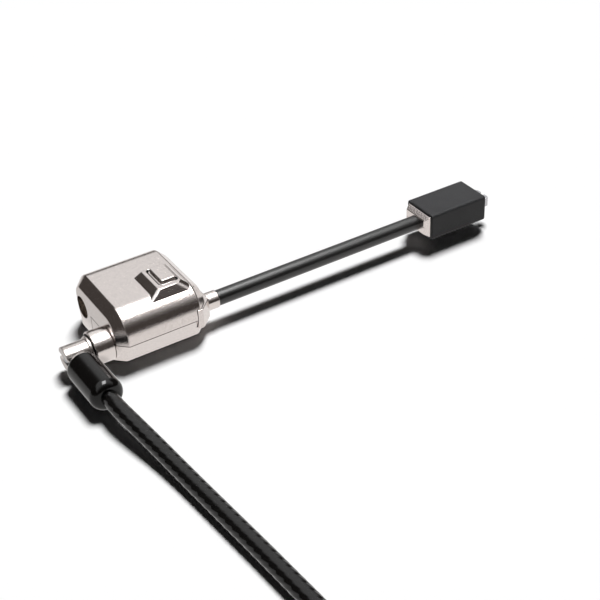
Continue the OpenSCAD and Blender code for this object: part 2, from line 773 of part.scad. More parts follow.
module head_cover() {
    mouth_w = 2 * (neck_y + hook_back * sin(hook_turn) + 2 * run_gap);
    color(charcoal) placed() difference() {
        translate([head_x, tube_y, head_z]) rotate([90, 0, 90])
            linear_extrude(head_l) rounded_rect(head_w, head_h, cover_round);
        translate([0, 0, head_up])
            on_axis(head_x - cut, head_end - cover_front, frame_w + 2 * seat_gap, frame_h + 2 * seat_gap);
        on_axis(head_x, head_end + cut, mouth_w, hook_t + 2 * run_gap);
    }
}

module hook_pins() {
    color(steel) placed() for (side = [-1, 1]) {
        rod_z(head_z - frame_h / 2, head_z + frame_h / 2, hook_pin_d, hook_x, tube_y + side * hook_pivot_y);
    }
}

// One hook in its closed place; side is 1 at the back and -1 at the front
module hook(side) {
    ramp = 0.5;
    nose = 0.7;
    finger = [
        [hook_x, hook_room], [bump_x - ramp, hook_room], [bump_x, bump_room], [bump_x + bump_l, bump_room],
        [bump_x + bump_l + ramp, hook_room], [hook_tip, hook_room], [hook_tip, neck_y],
        [hook_tip - nose, barb_y], [barb_x, barb_y], [barb_x, neck_y], [hook_x, neck_y]
    ];
    bore = hook_pin_d + 2 * core_gap;
    color(steel) placed() translate([0, tube_y, tube_z - hook_t / 2]) mirror([0, side < 0 ? 1 : 0, 0])
        difference() {
            union() {
                linear_extrude(hook_t) polygon(finger);
                translate([hook_x, hook_pivot_y, 0]) cylinder(h = hook_t, r = hook_eye_r);
            }
            translate([hook_x, hook_pivot_y, -cut]) cylinder(h = hook_t + 2 * cut, d = bore);
        }
}

module hook_back_side() {
    hook(1);
}

module hook_front_side() {
    hook(-1);
}

module spreader() {
    half = spreader_w / 2;
    color(steel) placed() difference() {
        translate([0, tube_y, tube_z - spreader_h / 2]) linear_extrude(spreader_h) polygon([
            [spreader_x0, -half], [spreader_x1 - spreader_tip, -half], [spreader_x1, -half / 10],
            [spreader_x1, half / 10], [spreader_x1 - spreader_tip, half], [spreader_x0, half]
        ]);
        on_axis(spreader_x0 - cut, spreader_x0 + 2, 2 * spreader_w, wire_d + 2 * seat_gap);
    }
}

module inner_wire() {
    color(steel) placed() rod_x(carriage_x - stop_l, spreader_x0 + 2 - seat_gap, wire_d, tube_y, tube_z);
}

module wire_stop() {
    color(brass) placed() difference() {
        rod_x(carriage_x - stop_l, carriage_x - seat_gap, stop_d, tube_y, tube_z);
        rod_x(carriage_x - stop_l - cut, carriage_x + cut, wire_d + seat_gap, tube_y, tube_z);
    }
}

// Carriage that the button's wedge pushes along the tube: a post on the wire and a slope under the stem
module wedge_carriage() {
    x1 = carriage_x + carriage_l;
    slope = [
        [carriage_x - cut, carriage_x - cut - wedge_drop], [x1 + cut, x1 + cut - wedge_drop],
        [x1 + cut, carriage_z1 + cut], [carriage_x - cut, carriage_z1 + cut]
    ];
    notch_z = latch_h / 2 + run_gap;
    color(brass) placed() difference() {
        box(carriage_x, x1, carriage_y0, carriage_y1, carriage_z0, carriage_z1);
        translate([0, carriage_y1 + cut, 0]) rotate([90, 0, 0])
            linear_extrude(carriage_y1 - wedge_y0 + cut) polygon(slope);
        box(
            carriage_x - cut, latch_x1 + 2 * run_gap, latch_nose - run_gap, carriage_y1 + cut,
            key_z - notch_z, key_z + notch_z
        );
        rod_x(carriage_x - cut, x1 + cut, wire_d + seat_gap, tube_y, tube_z);
    }
}

module push_button() {
    stem_z = stem_x0 - wedge_drop + run_gap;
    stem = [
        [stem_x0, stem_z], [stem_x1, stem_x1 - wedge_drop + run_gap],
        [stem_x1, flange_z0], [stem_x0, flange_z0]
    ];
    color(silver) placed() {
        translate([0, 0, flange_z0]) {
            linear_extrude(flange_t) button_outline(ledge_w + flange_w, flange_back, pad_round);
            linear_extrude(bezel_top - ledge_drop - flange_z0)
                button_outline(ledge_w, 0, pad_round + 0.9 * ledge_w);
            linear_extrude(bezel_top + pad_rise - flange_z0) button_outline(0, 0, pad_round);
        }
        translate([0, button_y + stem_w / 2, 0]) rotate([90, 0, 0]) linear_extrude(stem_w) polygon(stem);
    }
}

module button_spring() {
    color(steel) placed() translate([button_spring_x, button_spring_y, chamber_z0])
        spring(button_spring_d, flange_z0 - chamber_z0, 6);
}

module return_spring() {
    x0 = carriage_x + carriage_l;
    color(steel) placed() translate([x0, tube_y, tube_z]) rotate([0, 90, 0])
        spring(return_spring_d, chamber_x1 - x0, 4);
}

module lock_cylinder() {
    color(brass) placed() difference() {
        rod_x(mouth_l, cylinder_x1, cylinder_d, key_y, key_z);
        rod_x(mouth_l - cut, cylinder_x1 + cut, core_d + 2 * core_gap, key_y, key_z);
    }
}

function wafer_x(i) = core_x0 + 2 + i * (cylinder_x1 - core_x0 - 2.5) / wafers;

module key_box(x0, x1, w, h) {
    box(x0, x1, key_y - w / 2, key_y + w / 2, key_z - h / 2, key_z + h / 2);
}

module key_core() {
    color(brass) placed() difference() {
        union() {
            rod_x(core_x0, cylinder_x1, core_d, key_y, key_z);
            key_box(cylinder_x1, cam_x1, tail_w, tail_w);
        }
        key_box(core_x0 - cut, cylinder_x1 - cut, keyway_w, keyway_h);
        for (i = [0:wafers - 1]) {
            key_box(
                wafer_x(i) - seat_gap, wafer_x(i) + wafer_t + seat_gap,
                wafer_w + 2 * seat_gap, wafer_h + 2 * seat_gap
            );
        }
    }
}

module core_wafers() {
    color(steel) placed() for (i = [0:wafers - 1]) {
        difference() {
            key_box(wafer_x(i), wafer_x(i) + wafer_t, wafer_w, wafer_h);
            key_box(wafer_x(i) - cut, wafer_x(i) + wafer_t + cut, keyway_w, keyway_h * 0.7);
        }
    }
}

module core_clip() {
    color(steel) placed() difference() {
        rod_x(cylinder_x1 + seat_gap, cylinder_x1 + clip_t, core_d + 1, key_y, key_z);
        key_box(cylinder_x1, cylinder_x1 + cut, tail_w + 2 * seat_gap, tail_w + 2 * seat_gap);
    }
}

module core_cam() {
    color(steel) placed() difference() {
        union() {
            rod_x(cam_x0, cam_x1, cam_d, key_y, key_z);
            rod_x(cam_x0, latch_x1 + run_gap, crank_d, key_y, key_z - cam_throw);
        }
        key_box(cam_x0 - cut, cam_x1, tail_w + 2 * seat_gap, tail_w + 2 * seat_gap);
    }
}

// Bolt with a nose at the carriage and a slotted plate round the cam's crank pin
module latch_bolt() {
    low = key_z - cam_throw - crank_d / 2 - run_gap;
    high = key_z + crank_d / 2 + run_gap;
    color(steel) placed() difference() {
        union() {
            box(latch_x0, latch_x1, latch_nose, key_y, key_z - latch_h / 2, key_z + latch_h / 2);
            box(
                latch_x0, latch_x1, key_y - yoke_y - yoke_wall, yoke_y1,
                low - yoke_wall, high + yoke_wall
            );
        }
        box(latch_x0 - cut, latch_x1 + cut, key_y - yoke_y, key_y + yoke_y, low, high);
    }
}

module latch_spring() {
    x = (latch_x0 + latch_x1) / 2;
    back = key_y + cylinder_d / 2 - run_gap;
    color(steel) placed() translate([x, yoke_y1, key_z]) rotate([-90, 0, 0])
        spring(latch_spring_d, back - yoke_y1, 3);
}

// Barrel of the swivel, with a shank pressed into the body and a room for the journal's clip
module swivel_barrel() {
    color(silver) placed() difference() {
        union() {
            rod_x(-barrel_l, -seat_gap, barrel_d, barrel_y, barrel_z);
            rod_x(-barrel_l, shank_l, shank_d, barrel_y, barrel_z);
        }
        rod_x(-barrel_l - cut, shank_l + cut, journal_d + 2 * core_gap, barrel_y, barrel_z);
        rod_x(journal_x1 - run_gap, shank_l + cut, clip_d + 2 * run_gap, barrel_y, barrel_z);
    }
}

module swivel_fork() {
    color(silver) placed() difference() {
        union() {
            intersection() {
                rod_x(fork_end, fork_x1, fork_d, barrel_y, barrel_z);
                union() {
                    rod_z(0, body_h, 2 * fork_turn_r, pin_x, barrel_y);
                    box(pin_x, fork_x1, barrel_y - fork_d, barrel_y + fork_d, 0, body_h);
                }
            }
            rod_x(fork_x1 - fork_flange_t, fork_x1, fork_flange_d, barrel_y, barrel_z);
            rod_x(fork_x1, journal_x1 + clip_t, journal_d, barrel_y, barrel_z);
        }
        box(
            fork_end - cut, slot_x1, barrel_y - fork_d, barrel_y + fork_d,
            barrel_z - slot_h / 2, barrel_z + slot_h / 2
        );
        rod_z(0, body_h, fork_pin_d + seat_gap, pin_x, barrel_y);
    }
}

module fork_clip() {
    color(steel) placed() difference() {
        rod_x(journal_x1, journal_x1 + clip_t, clip_d, barrel_y, barrel_z);
        rod_x(journal_x1 - cut, journal_x1 + clip_t + cut, journal_d + seat_gap, barrel_y, barrel_z);
    }
}

module fork_pin() {
    reach = fork_d / 2 - 0.15;
    color(steel) placed() rod_z(barrel_z - reach, barrel_z + reach, fork_pin_d, pin_x, barrel_y);
}

// Tongue round the fork pin, with the sleeve that is crimped on the cable
module cable_terminal() {
    color(steel) cable_placed() difference() {
        union() {
            translate([0, 0, -tongue_t / 2]) cylinder(h = tongue_t, r = tongue_r);
            translate([-tongue_w / 2, -sleeve - 1, -tongue_t / 2]) cube([tongue_w, sleeve + 1, tongue_t]);
            translate([0, -sleeve, 0]) rotate([90, 0, 0]) cylinder(h = crimp_l, d = crimp_d);
        }
        translate([0, 0, -tongue_t]) cylinder(h = 2 * tongue_t, d = fork_pin_d + 2 * core_gap);
    }
}

// Moulded boot over the terminal's sleeve, with rounded ends
module cable_boot() {
    r = boot_d / 2;
    flat = r - boot_round;
    profile = concat(
        [[0, boot_start], [flat, boot_start]],
        arc([flat, boot_start + boot_round], boot_round, -90, 0),
        arc([flat, boot_end - boot_round], boot_round, 0, 90),
        [[0, boot_end]]
    );
    slit_w = tongue_w + 2 * seat_gap;
    slit_h = tongue_t + 2 * seat_gap;
    color(black) cable_placed() difference() {
        rotate([90, 0, 0]) rotate_extrude() polygon(profile);
        translate([0, -sleeve + seat_gap, 0]) rotate([90, 0, 0])
            cylinder(h = crimp_l + 2 * seat_gap, d = crimp_d + 2 * seat_gap);
        translate([-slit_w / 2, -sleeve - 1, -slit_h / 2]) cube([slit_w, sleeve + 1, slit_h]);
    }
}

module security_cable() {
    color(black) cable_placed() swept_tube(cable_path, cable_d, 10);
}

module cable_coil() {
    color(black) cable_placed() swept_tube(coil_path, cable_d, 6);
}

// Strap round all the loops on the side of the coil away from the cable's way in
module coil_tie() {
    in_w = coil_r - coil_in_r + cable_d + 2 * tie_gap;
    in_h = (coil_layers - 1) * layer_step + cable_d + 2 * tie_gap;
    x = coil_x + coil_r + (coil_r + coil_in_r) / 2;
    z = (coil_z + coil_top) / 2;
    color(charcoal) cable_placed() translate([x, coil_y + tie_w / 2, z]) rotate([90, 0, 0])
        linear_extrude(tie_w) difference() {
            square([in_w + 2 * tie_t, in_h + 2 * tie_t], center = true);
            square([in_w, in_h], center = true);
        }
}

// Sleeve that holds the cable and its end side by side
module loop_ferrule() {
    d = cable_d + 2 * loop_ferrule_t - 0.6;
    color(silver) cable_placed() translate([tail_x, tail_y, tail_z]) rotate([90, 0, 90])
        linear_extrude(loop_ferrule_l) {
            circle(d = d);
            translate([2 * eye_side, 0]) circle(d = d);
            translate([0, -d / 2]) square([2 * eye_side, d]);
        }
}

module end_loop() {
    color(black) cable_placed() swept_tube(eye_path, cable_d, 8);
}

upper_shell();
lower_shell();
shell_screws();
cable_block();
tube_ferrule();
sheath();
head_frame();
head_cover();
hook_pins();
lock_cylinder();
swivel_barrel();
button_spring();
return_spring();
latch_spring();
push_button();
wedge_carriage();
wire_stop();
inner_wire();
spreader();
hook_back_side();
hook_front_side();
key_core();
core_wafers();
core_clip();
core_cam();
latch_bolt();
swivel_fork();
fork_clip();
fork_pin();
cable_terminal();
cable_boot();
security_cable();
cable_coil();
coil_tie();
loop_ferrule();
end_loop();
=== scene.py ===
"""Looks of a laptop cable lock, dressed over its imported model.

Sizes in the classes are millimetres in the lock's working frame: X runs along the tube from the lock
body's left end, Y from its front to its back, and Z up from the surface that it stands on. Assembly.seat
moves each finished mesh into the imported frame, in metres.
"""

import logging
import math
from dataclasses import dataclass, field
from enum import Enum
from typing import Any, Callable, Iterable, Optional, Sequence

import bmesh
import bpy
from mathutils import Matrix, Vector
from mathutils.bvhtree import BVHTree


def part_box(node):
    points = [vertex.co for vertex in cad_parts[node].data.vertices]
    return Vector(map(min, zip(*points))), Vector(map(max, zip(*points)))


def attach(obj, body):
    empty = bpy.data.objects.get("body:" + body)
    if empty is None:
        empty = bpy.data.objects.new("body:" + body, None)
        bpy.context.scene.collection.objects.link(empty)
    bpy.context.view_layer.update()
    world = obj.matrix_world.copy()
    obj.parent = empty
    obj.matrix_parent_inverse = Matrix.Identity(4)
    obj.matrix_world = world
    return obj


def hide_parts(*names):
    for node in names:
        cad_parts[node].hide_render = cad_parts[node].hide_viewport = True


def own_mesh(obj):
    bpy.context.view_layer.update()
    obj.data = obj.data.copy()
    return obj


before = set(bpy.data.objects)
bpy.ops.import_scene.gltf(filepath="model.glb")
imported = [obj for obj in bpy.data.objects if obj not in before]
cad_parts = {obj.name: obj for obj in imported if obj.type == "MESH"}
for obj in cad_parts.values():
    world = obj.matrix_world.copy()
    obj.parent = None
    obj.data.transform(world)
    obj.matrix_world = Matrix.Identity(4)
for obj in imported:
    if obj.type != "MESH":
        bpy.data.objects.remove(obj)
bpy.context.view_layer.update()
logging.basicConfig(level=logging.INFO, format="%(message)s")
LOG = logging.getLogger("cable_lock")

Point2 = tuple[float, float]
Point3 = tuple[float, float, float]
Outline = tuple[Point2, ...]
Sides = tuple[float, float, float, float]  # left, right, front and back
Colour = tuple[float, float, float, float]
Solid = bmesh.types.BMesh
Edge = bmesh.types.BMEdge
EdgeTest = Callable[[Edge], bool]
PlaceTest = Callable[[Vector], bool]
Node = bpy.types.Node
Socket = bpy.types.NodeSocket
Tree = bpy.types.NodeTree

MM = 0.001
MIDDLE = Vector((56.575, 15.25, 0.0))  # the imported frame's origin
TO_FRAME = Matrix.Scale(MM, 4) @ Matrix.Translation(-MIDDLE)
MERGE = 1e-4  # corners nearer than this become one
TOUCH = 0.01  # places nearer than this count as the same
PAST = 1.0  # how far a cutting solid runs past a face
SHARP = 32.0  # least angle, in degrees, of an edge that stays sharp in shading
SWIVEL = (7.8, 4.9)  # Y and Z of the swivel's axis
TUBE = (6.5, 6.8)  # Y and Z of the tube's axis
PIN_X = -10.25  # X of the fork's pin


class Axis(Enum):
    """Axis that an outline is drawn across."""

    X = 0
    Y = 1
    Z = 2

    def lift(self, a: float, b: float, along: float) -> Vector:
        """Place of an outline point (a, b) at a distance along the axis."""
        places = {Axis.X: (along, a, b), Axis.Y: (a, along, b), Axis.Z: (a, b, along)}
        return Vector(places[self])


class Body(str, Enum):
    """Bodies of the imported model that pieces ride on."""

    LOCK = "lock_body"
    BUTTON = "button"
    BACK_HOOK = "back_hook"
    FRONT_HOOK = "front_hook"
    FORK = "fork"
    CABLE = "cable"


class Cut(str, Enum):
    """Ways to combine two solids."""

    AWAY = "DIFFERENCE"
    WITH = "UNION"
    SHARED = "INTERSECT"


Steps = Iterable[tuple[Cut, Solid]]


# Outlines and solids


def arc(centre: Point2, radius: float, start: float, end: float, steps: int) -> list[Point2]:
    """Points of an arc.

    Args:
        centre: middle of the arc.
        radius: its radius.
        start: first angle in degrees.
        end: last angle in degrees.
        steps: number of chords.

    Returns:
        The points from the first angle to the last.
    """
    turns = (math.radians(start + (end - start) * i / steps) for i in range(steps + 1))
    return [(centre[0] + radius * math.cos(t), centre[1] + radius * math.sin(t)) for t in turns]


def rectangle(x0: float, x1: float, y0: float, y1: float) -> list[Point2]:
    """Corners of an upright rectangle."""
    return [(x0, y0), (x1, y0), (x1, y1), (x0, y1)]


def rounded(x0: float, x1: float, y0: float, y1: float, r: float, steps: int = 6) -> list[Point2]:
    """Outline of a rectangle with rounded corners."""
    corners = ((x1 - r, y0 + r), (x1 - r, y1 - r), (x0 + r, y1 - r), (x0 + r, y0 + r))
    return [p for i, centre in enumerate(corners) for p in arc(centre, r, 90 * i - 90, 90 * i, steps)]


def eased(
    points: Sequence[Point2], radius: float, closed: bool = True, steps: int = 4, most: float = 0.45,
) -> list[Point2]:
    """Outline with its corners rounded.

    Args:
        points: corners in order.
        radius: distance from a corner at which its rounding starts.
        closed: whether the last corner joins the first.
        steps: chords of each rounding.
        most: largest share of a side that a rounding takes.

    Returns:
        The corners, each replaced by a short curve; the ends of an open line stay.
    """
    line: list[Point2] = []
    count = len(points)
    for i, p in enumerate(points):
        if not closed and i in (0, count - 1):
            line.append(p)
            continue
        here = Vector(p)
        before, after = Vector(points[i - 1]) - here, Vector(points[(i + 1) % count]) - here
        reach = min(radius, before.length * most, after.length * most)
        a, b = here + before.normalized() * reach, here + after.normalized() * reach
        for k in range(steps + 1):
            t = k / steps
            line.append(tuple(a * (1 - t) ** 2 + here * 2 * t * (1 - t) + b * t ** 2))
    return line


def loft(sections: Sequence[Sequence[Vector]], capped: bool = True) -> Solid:
    """Solid through a row of rings that have the same number of points.

    Args:
        sections: rings in order.
        capped: whether the first and the last ring are closed with a face.

    Returns:
        The solid as a new bmesh.
    """
    bm = bmesh.new()
    ring = [bm.verts.new(p) for p in sections[0]]
    edges = [bm.edges.new((ring[i - 1], ring[i])) for i in range(len(ring))]
    first = list(edges)
    for section in sections[1:]:
        made = bmesh.ops.extrude_edge_only(bm, edges=edges)["geom"]
        fresh = {v for v in made if isinstance(v, bmesh.types.BMVert)}
        ring = [next(e.other_vert(v) for e in v.link_edges if e.other_vert(v) in fresh) for v in ring]
        for vert, place in zip(ring, section):
            vert.co = place
        edges = [bm.edges.get((ring[i - 1], ring[i])) for i in range(len(ring))]
    if capped:
        bmesh.ops.contextual_create(bm, geom=first)
        bmesh.ops.contextual_create(bm, geom=edges)
    bmesh.ops.recalc_face_normals(bm, faces=bm.faces[:])
    return bm


def prism(outline: Sequence[Point2], axis: Axis, low: float, high: float) -> Solid:
    """Straight solid with an outline across an axis."""
    return loft([[axis.lift(a, b, at) for a, b in outline] for at in (low, high)])


def box(x0: float, x1: float, y0: float, y1: float, z0: float, z1: float) -> Solid:
    """Upright box between two corners."""
    return prism(rectangle(x0, x1, y0, y1), Axis.Z, z0, z1)


def rod(axis: Axis, low: float, high: float, radius: float, a: float, b: float, sides: int = 64) -> Solid:
    """Round rod along an axis, about the point (a, b) across it."""
    return prism(arc((a, b), radius, 0, 360 * (1 - 1 / sides), sides - 1), axis, low, high)


def lathe(profile: Sequence[Point2], axis: Axis, a: float, b: float, hollow: bool, steps: int = 72) -> Solid:
    """Turned solid.

    Args:
        profile: points as (distance along the axis, radius).
        axis: axis of the turning.
        a: first coordinate of the axis across it.
        b: second coordinate of the axis across it.
        hollow: whether the profile is a closed loop clear of the axis.
        steps: facets round the axis.

    Returns:
        The solid as a new bmesh.
    """
    bm = bmesh.new()
    verts = [bm.verts.new(axis.lift(a + r, b, along)) for along, r in profile]
    pairs = list(zip(verts, verts[1:])) + ([(verts[-1], verts[0])] if hollow else [])
    edges = [bm.edges.new(pair) for pair in pairs]
    bmesh.ops.spin(
        bm, geom=verts + edges, cent=axis.lift(a, b, 0), axis=axis.lift(0, 0, 1), dvec=(0, 0, 0),
        angle=math.tau, steps=steps, use_merge=True, use_duplicate=False,
    )
    bmesh.ops.remove_doubles(bm, verts=bm.verts[:], dist=MERGE / 10)
    bmesh.ops.recalc_face_normals(bm, faces=bm.faces[:])
    return bm


def soften(
    bm: Solid, width: float, segments: int = 3, angle: float = 30, where: Optional[EdgeTest] = None,
) -> Solid:
    """Rounds the sharp edges of a solid.

    Args:
        bm: the solid, changed in place.
        width: distance of the rounding from the edge.
        segments: facets of the rounding.
        angle: least angle of a sharp edge, in degrees.
        where: further test that an edge has to pass.

    Returns:
        The same solid.
    """
    least = math.radians(angle)
    sharp = [
        e for e in bm.edges
        if len(e.link_faces) == 2 and e.calc_face_angle(0) > least and (where is None or where(e))
    ]
    if sharp:
        bmesh.ops.bevel(
            bm, geom=sharp, offset=width, offset_type="OFFSET", segments=segments, profile=0.5,
            affect="EDGES", clamp_overlap=True, material=-1,
        )
    return bm


def moved(bm: Solid, matrix: Matrix) -> Solid:
    """The same solid, moved by a matrix."""
    bmesh.ops.transform(bm, matrix=matrix, verts=bm.verts[:])
    return bm


def scratch(bm: Solid) -> bpy.types.Object:
    """Object that holds a solid while it is combined with others.

    Args:
        bm: the solid; it is used up.

    Returns:
        The new object.
    """
    mesh = bpy.data.meshes.new("scratch")
    bm.to_mesh(mesh)
    bm.free()
    made = bpy.data.objects.new("scratch", mesh)
    bpy.context.scene.collection.objects.link(made)
    return made


def combine(base: Solid, steps: Steps) -> Solid:
    """Adds solids to a base or takes them away.

    Args:
        base: solid to start from; it is used up.
        steps: what to do with each further solid, in order; these are used up too.

    Returns:
        The combined solid as a new bmesh.
    """
    target = scratch(base)
    tools = []
    for how, solid in steps:
        tool = scratch(solid)
        tools.append(tool)
        mod = target.modifiers.new("cut", "BOOLEAN")
        mod.operation, mod.solver, mod.object = how.value, "EXACT", tool
    shaped = target.evaluated_get(bpy.context.evaluated_depsgraph_get()).to_mesh()
    out = bmesh.new()
    out.from_mesh(shaped)
    for made in [target, *tools]:
        mesh = made.data
        bpy.data.objects.remove(made)
        bpy.data.meshes.remove(mesh)
    bmesh.ops.remove_doubles(out, verts=out.verts[:], dist=MERGE)
    bmesh.ops.dissolve_degenerate(out, edges=out.edges[:], dist=MERGE)
    return out


def hose(sections: Sequence[Sequence[Vector]], run: int = 40) -> Solid:
    """Long solid through many rings, lofted in short runs that are then merged.

    Args:
        sections: rings in order.
        run: rings in each run.

    Returns:
        The closed solid as a new bmesh.
    """
    out = bmesh.new()
    for i in range(0, len(sections) - 1, run):
        mesh = bpy.data.meshes.new("run")
        part = loft(sections[i:i + run + 1], capped=False)
        part.to_mesh(mesh)
        part.free()
        out.from_mesh(mesh)
        bpy.data.meshes.remove(mesh)
    bmesh.ops.remove_doubles(out, verts=out.verts[:], dist=MERGE)
    bmesh.ops.holes_fill(out, edges=[e for e in out.edges if e.is_boundary], sides=0)
    bmesh.ops.recalc_face_normals(out, faces=out.faces[:])
    return out


# Finishes


@dataclass
class Graph:
    """Adds and links the nodes of one shader tree."""

    tree: Tree

    def fill(self, node: Node, inputs: dict[str | int, Any]) -> None:
        """Gives each named input of a node its value, or links a socket to it.

        Args:
            node: the node.
            inputs: value or socket for each input.
        """
        for key, value in inputs.items():
            if isinstance(value, Socket):
                self.tree.links.new(value, node.inputs[key])
            else:
                node.inputs[key].default_value = value

    def node(self, kind: str, inputs: dict[str | int, Any], **settings: Any) -> Node:
        """Adds a node.

        Args:
            kind: its type, without the leading ShaderNode.
            inputs: value or socket for each input.
            settings: the node's own properties.

        Returns:
            The new node.
        """
        made = self.tree.nodes.new("ShaderNode" + kind)
        for key, value in settings.items():
            setattr(made, key, value)
        self.fill(made, inputs)
        return made

    def math(self, how: str, *values: Socket | float) -> Socket:
        """Result of an operation on sockets or numbers."""
        return self.node("Math", dict(enumerate(values)), operation=how).outputs["Value"]

    def ramp(self, value: Socket, low: float, high: float) -> Socket:
        """Smooth step of a value between two limits."""
        inputs = {"Value": value, "From Min": low, "From Max": high}
        return self.node("MapRange", inputs, interpolation_type="SMOOTHSTEP").outputs["Result"]

    def blend(self, share: Socket, a: Socket | Colour, b: Socket | Colour) -> Socket:
        """Colour between two others, by a share."""
        return self.node("Mix", {"Factor": share, "A": a, "B": b}, data_type="RGBA").outputs["Result"]

    def noise(self, vector: Socket, scale: Socket, detail: float) -> Socket:
        """Noise value on a vector, with its scale from a socket."""
        inputs = {"Vector": vector, "Scale": scale, "Detail": detail, "Roughness": 0.62}
        return self.node("TexNoise", inputs).outputs["Fac"]

    def group(self, shared: Tree, where: Socket, **values: float) -> Any:
        """Outputs of a shared group that is given its own values."""
        return self.node("Group", {"Vector": where, **values}, node_tree=shared).outputs


class Effects:
    """Shader groups that several finishes share."""

    def __init__(self) -> None:
        """Builds the groups once."""
        self.grain = self._grain()
        self.handling = self._handling()
        self.turning = self._turning()

    @staticmethod
    def _open(name: str, **first: float) -> tuple[Graph, Any]:
        """New group with a vector input and number inputs, given with their first values.

        Args:
            name: name of the group.
            first: first value of each number input.

        Returns:
            The group's graph, and the sockets of its input node.
        """
        graph = Graph(bpy.data.node_groups.new(name, "ShaderNodeTree"))
        face = graph.tree.interface
        face.new_socket("Vector", in_out="INPUT", socket_type="NodeSocketVector")
        for key, value in first.items():
            face.new_socket(key, in_out="INPUT", socket_type="NodeSocketFloat").default_value = value
        return graph, graph.tree.nodes.new("NodeGroupInput").outputs

    @staticmethod
    def _close(graph: Graph, **results: Socket) -> Tree:
        """Finished group that puts out the given numbers.

        Args:
            graph: graph of the group.
            results: socket of each output.

        Returns:
            The group.
        """
        for key in results:
            graph.tree.interface.new_socket(key, in_out="OUTPUT", socket_type="NodeSocketFloat")
        graph.fill(graph.tree.nodes.new("NodeGroupOutput"), results)
        return graph.tree

    def _grain(self) -> Tree:
        """Fine grain of a cast or moulded surface, with scattered pits.

        Returns:
            The group.
        """
        graph, given = self._open("fine_grain", Scale=4000.0, Pits=0.3)
        fine = graph.noise(given["Vector"], given["Scale"], 3.0)
        cells = graph.node("TexVoronoi", {"Vector": given["Vector"], "Scale": given["Scale"]})
        pit = graph.node("MapRange", {
            "Value": cells.outputs["Distance"], "From Min": 0.05, "From Max": 0.4, "To Min": 1.0,
            "To Max": 0.0,
        })
        deep = graph.math("MULTIPLY", pit.outputs["Result"], given["Pits"])
        return self._close(graph, Height=graph.math("SUBTRACT", fine, deep), Mask=fine)

    def _handling(self) -> Tree:
        """Soft patches left by handling, from a low to a high value.

        Returns:
            The group.
        """
        graph, given = self._open("handling_marks", Scale=90.0, Low=0.2, High=0.3)
        patch = graph.noise(given["Vector"], given["Scale"], 4.0)
        span = graph.node("MapRange", {
            "Value": patch, "From Min": 0.3, "From Max": 0.7, "To Min": given["Low"], "To Max": given["High"],
        })
        return self._close(graph, Value=span.outputs["Result"])

    def _turning(self) -> Tree:
        """Fine rings left by turning about X.

        Returns:
            The group.
        """
        graph, given = self._open("turning_rings", Scale=1.0)
        rings = graph.node("Mapping", {"Vector": given["Vector"], "Scale": (9000.0, 40.0, 40.0)})
        return self._close(graph, Height=graph.noise(rings.outputs["Vector"], given["Scale"], 2.0))


@dataclass(frozen=True)
class Finish:
    """A surface finish, made into a material on its first use.

    colour and shade are those of the grain's tops and hollows; grain holds its scale, depth and pits.
    """

    name: str
    colour: Point3
    shade: Point3
    rough: Point2
    grain: Point3
    metallic: float = 0.0
    turned: float = 0.0
    specular: float = 0.5
    relief: float = 0.0002

    def material(self, effects: Effects) -> bpy.types.Material:
        """The finish's material.

        Args:
            effects: shared shader groups.

        Returns:
            The material, built once.
        """
        known = bpy.data.materials.get(self.name)
        if known:
            return known
        made = bpy.data.materials.new(self.name)
        made.use_nodes = True
        graph = Graph(made.node_tree)
        where = graph.node("TexCoord", {}).outputs["Object"]
        scale, depth, pits = self.grain
        grain = graph.group(effects.grain, where, Scale=scale, Pits=pits)
        patch = graph.group(effects.handling, where, Low=self.rough[0], High=self.rough[1])
        height = grain["Height"]
        if self.turned:
            rings = graph.group(effects.turning, where)
            height = graph.math("MULTIPLY_ADD", rings["Height"], self.turned, height)
        bump = graph.node("Bump", {"Strength": depth, "Distance": self.relief, "Height": height})
        graph.fill(graph.tree.nodes["Principled BSDF"], {
            "Base Color": graph.blend(grain["Mask"], (*self.shade, 1), (*self.colour, 1)),
            "Metallic": self.metallic,
            "Roughness": patch["Value"],
            "Specular IOR Level": self.specular,
            "Normal": bump.outputs["Normal"],
        })
        return made


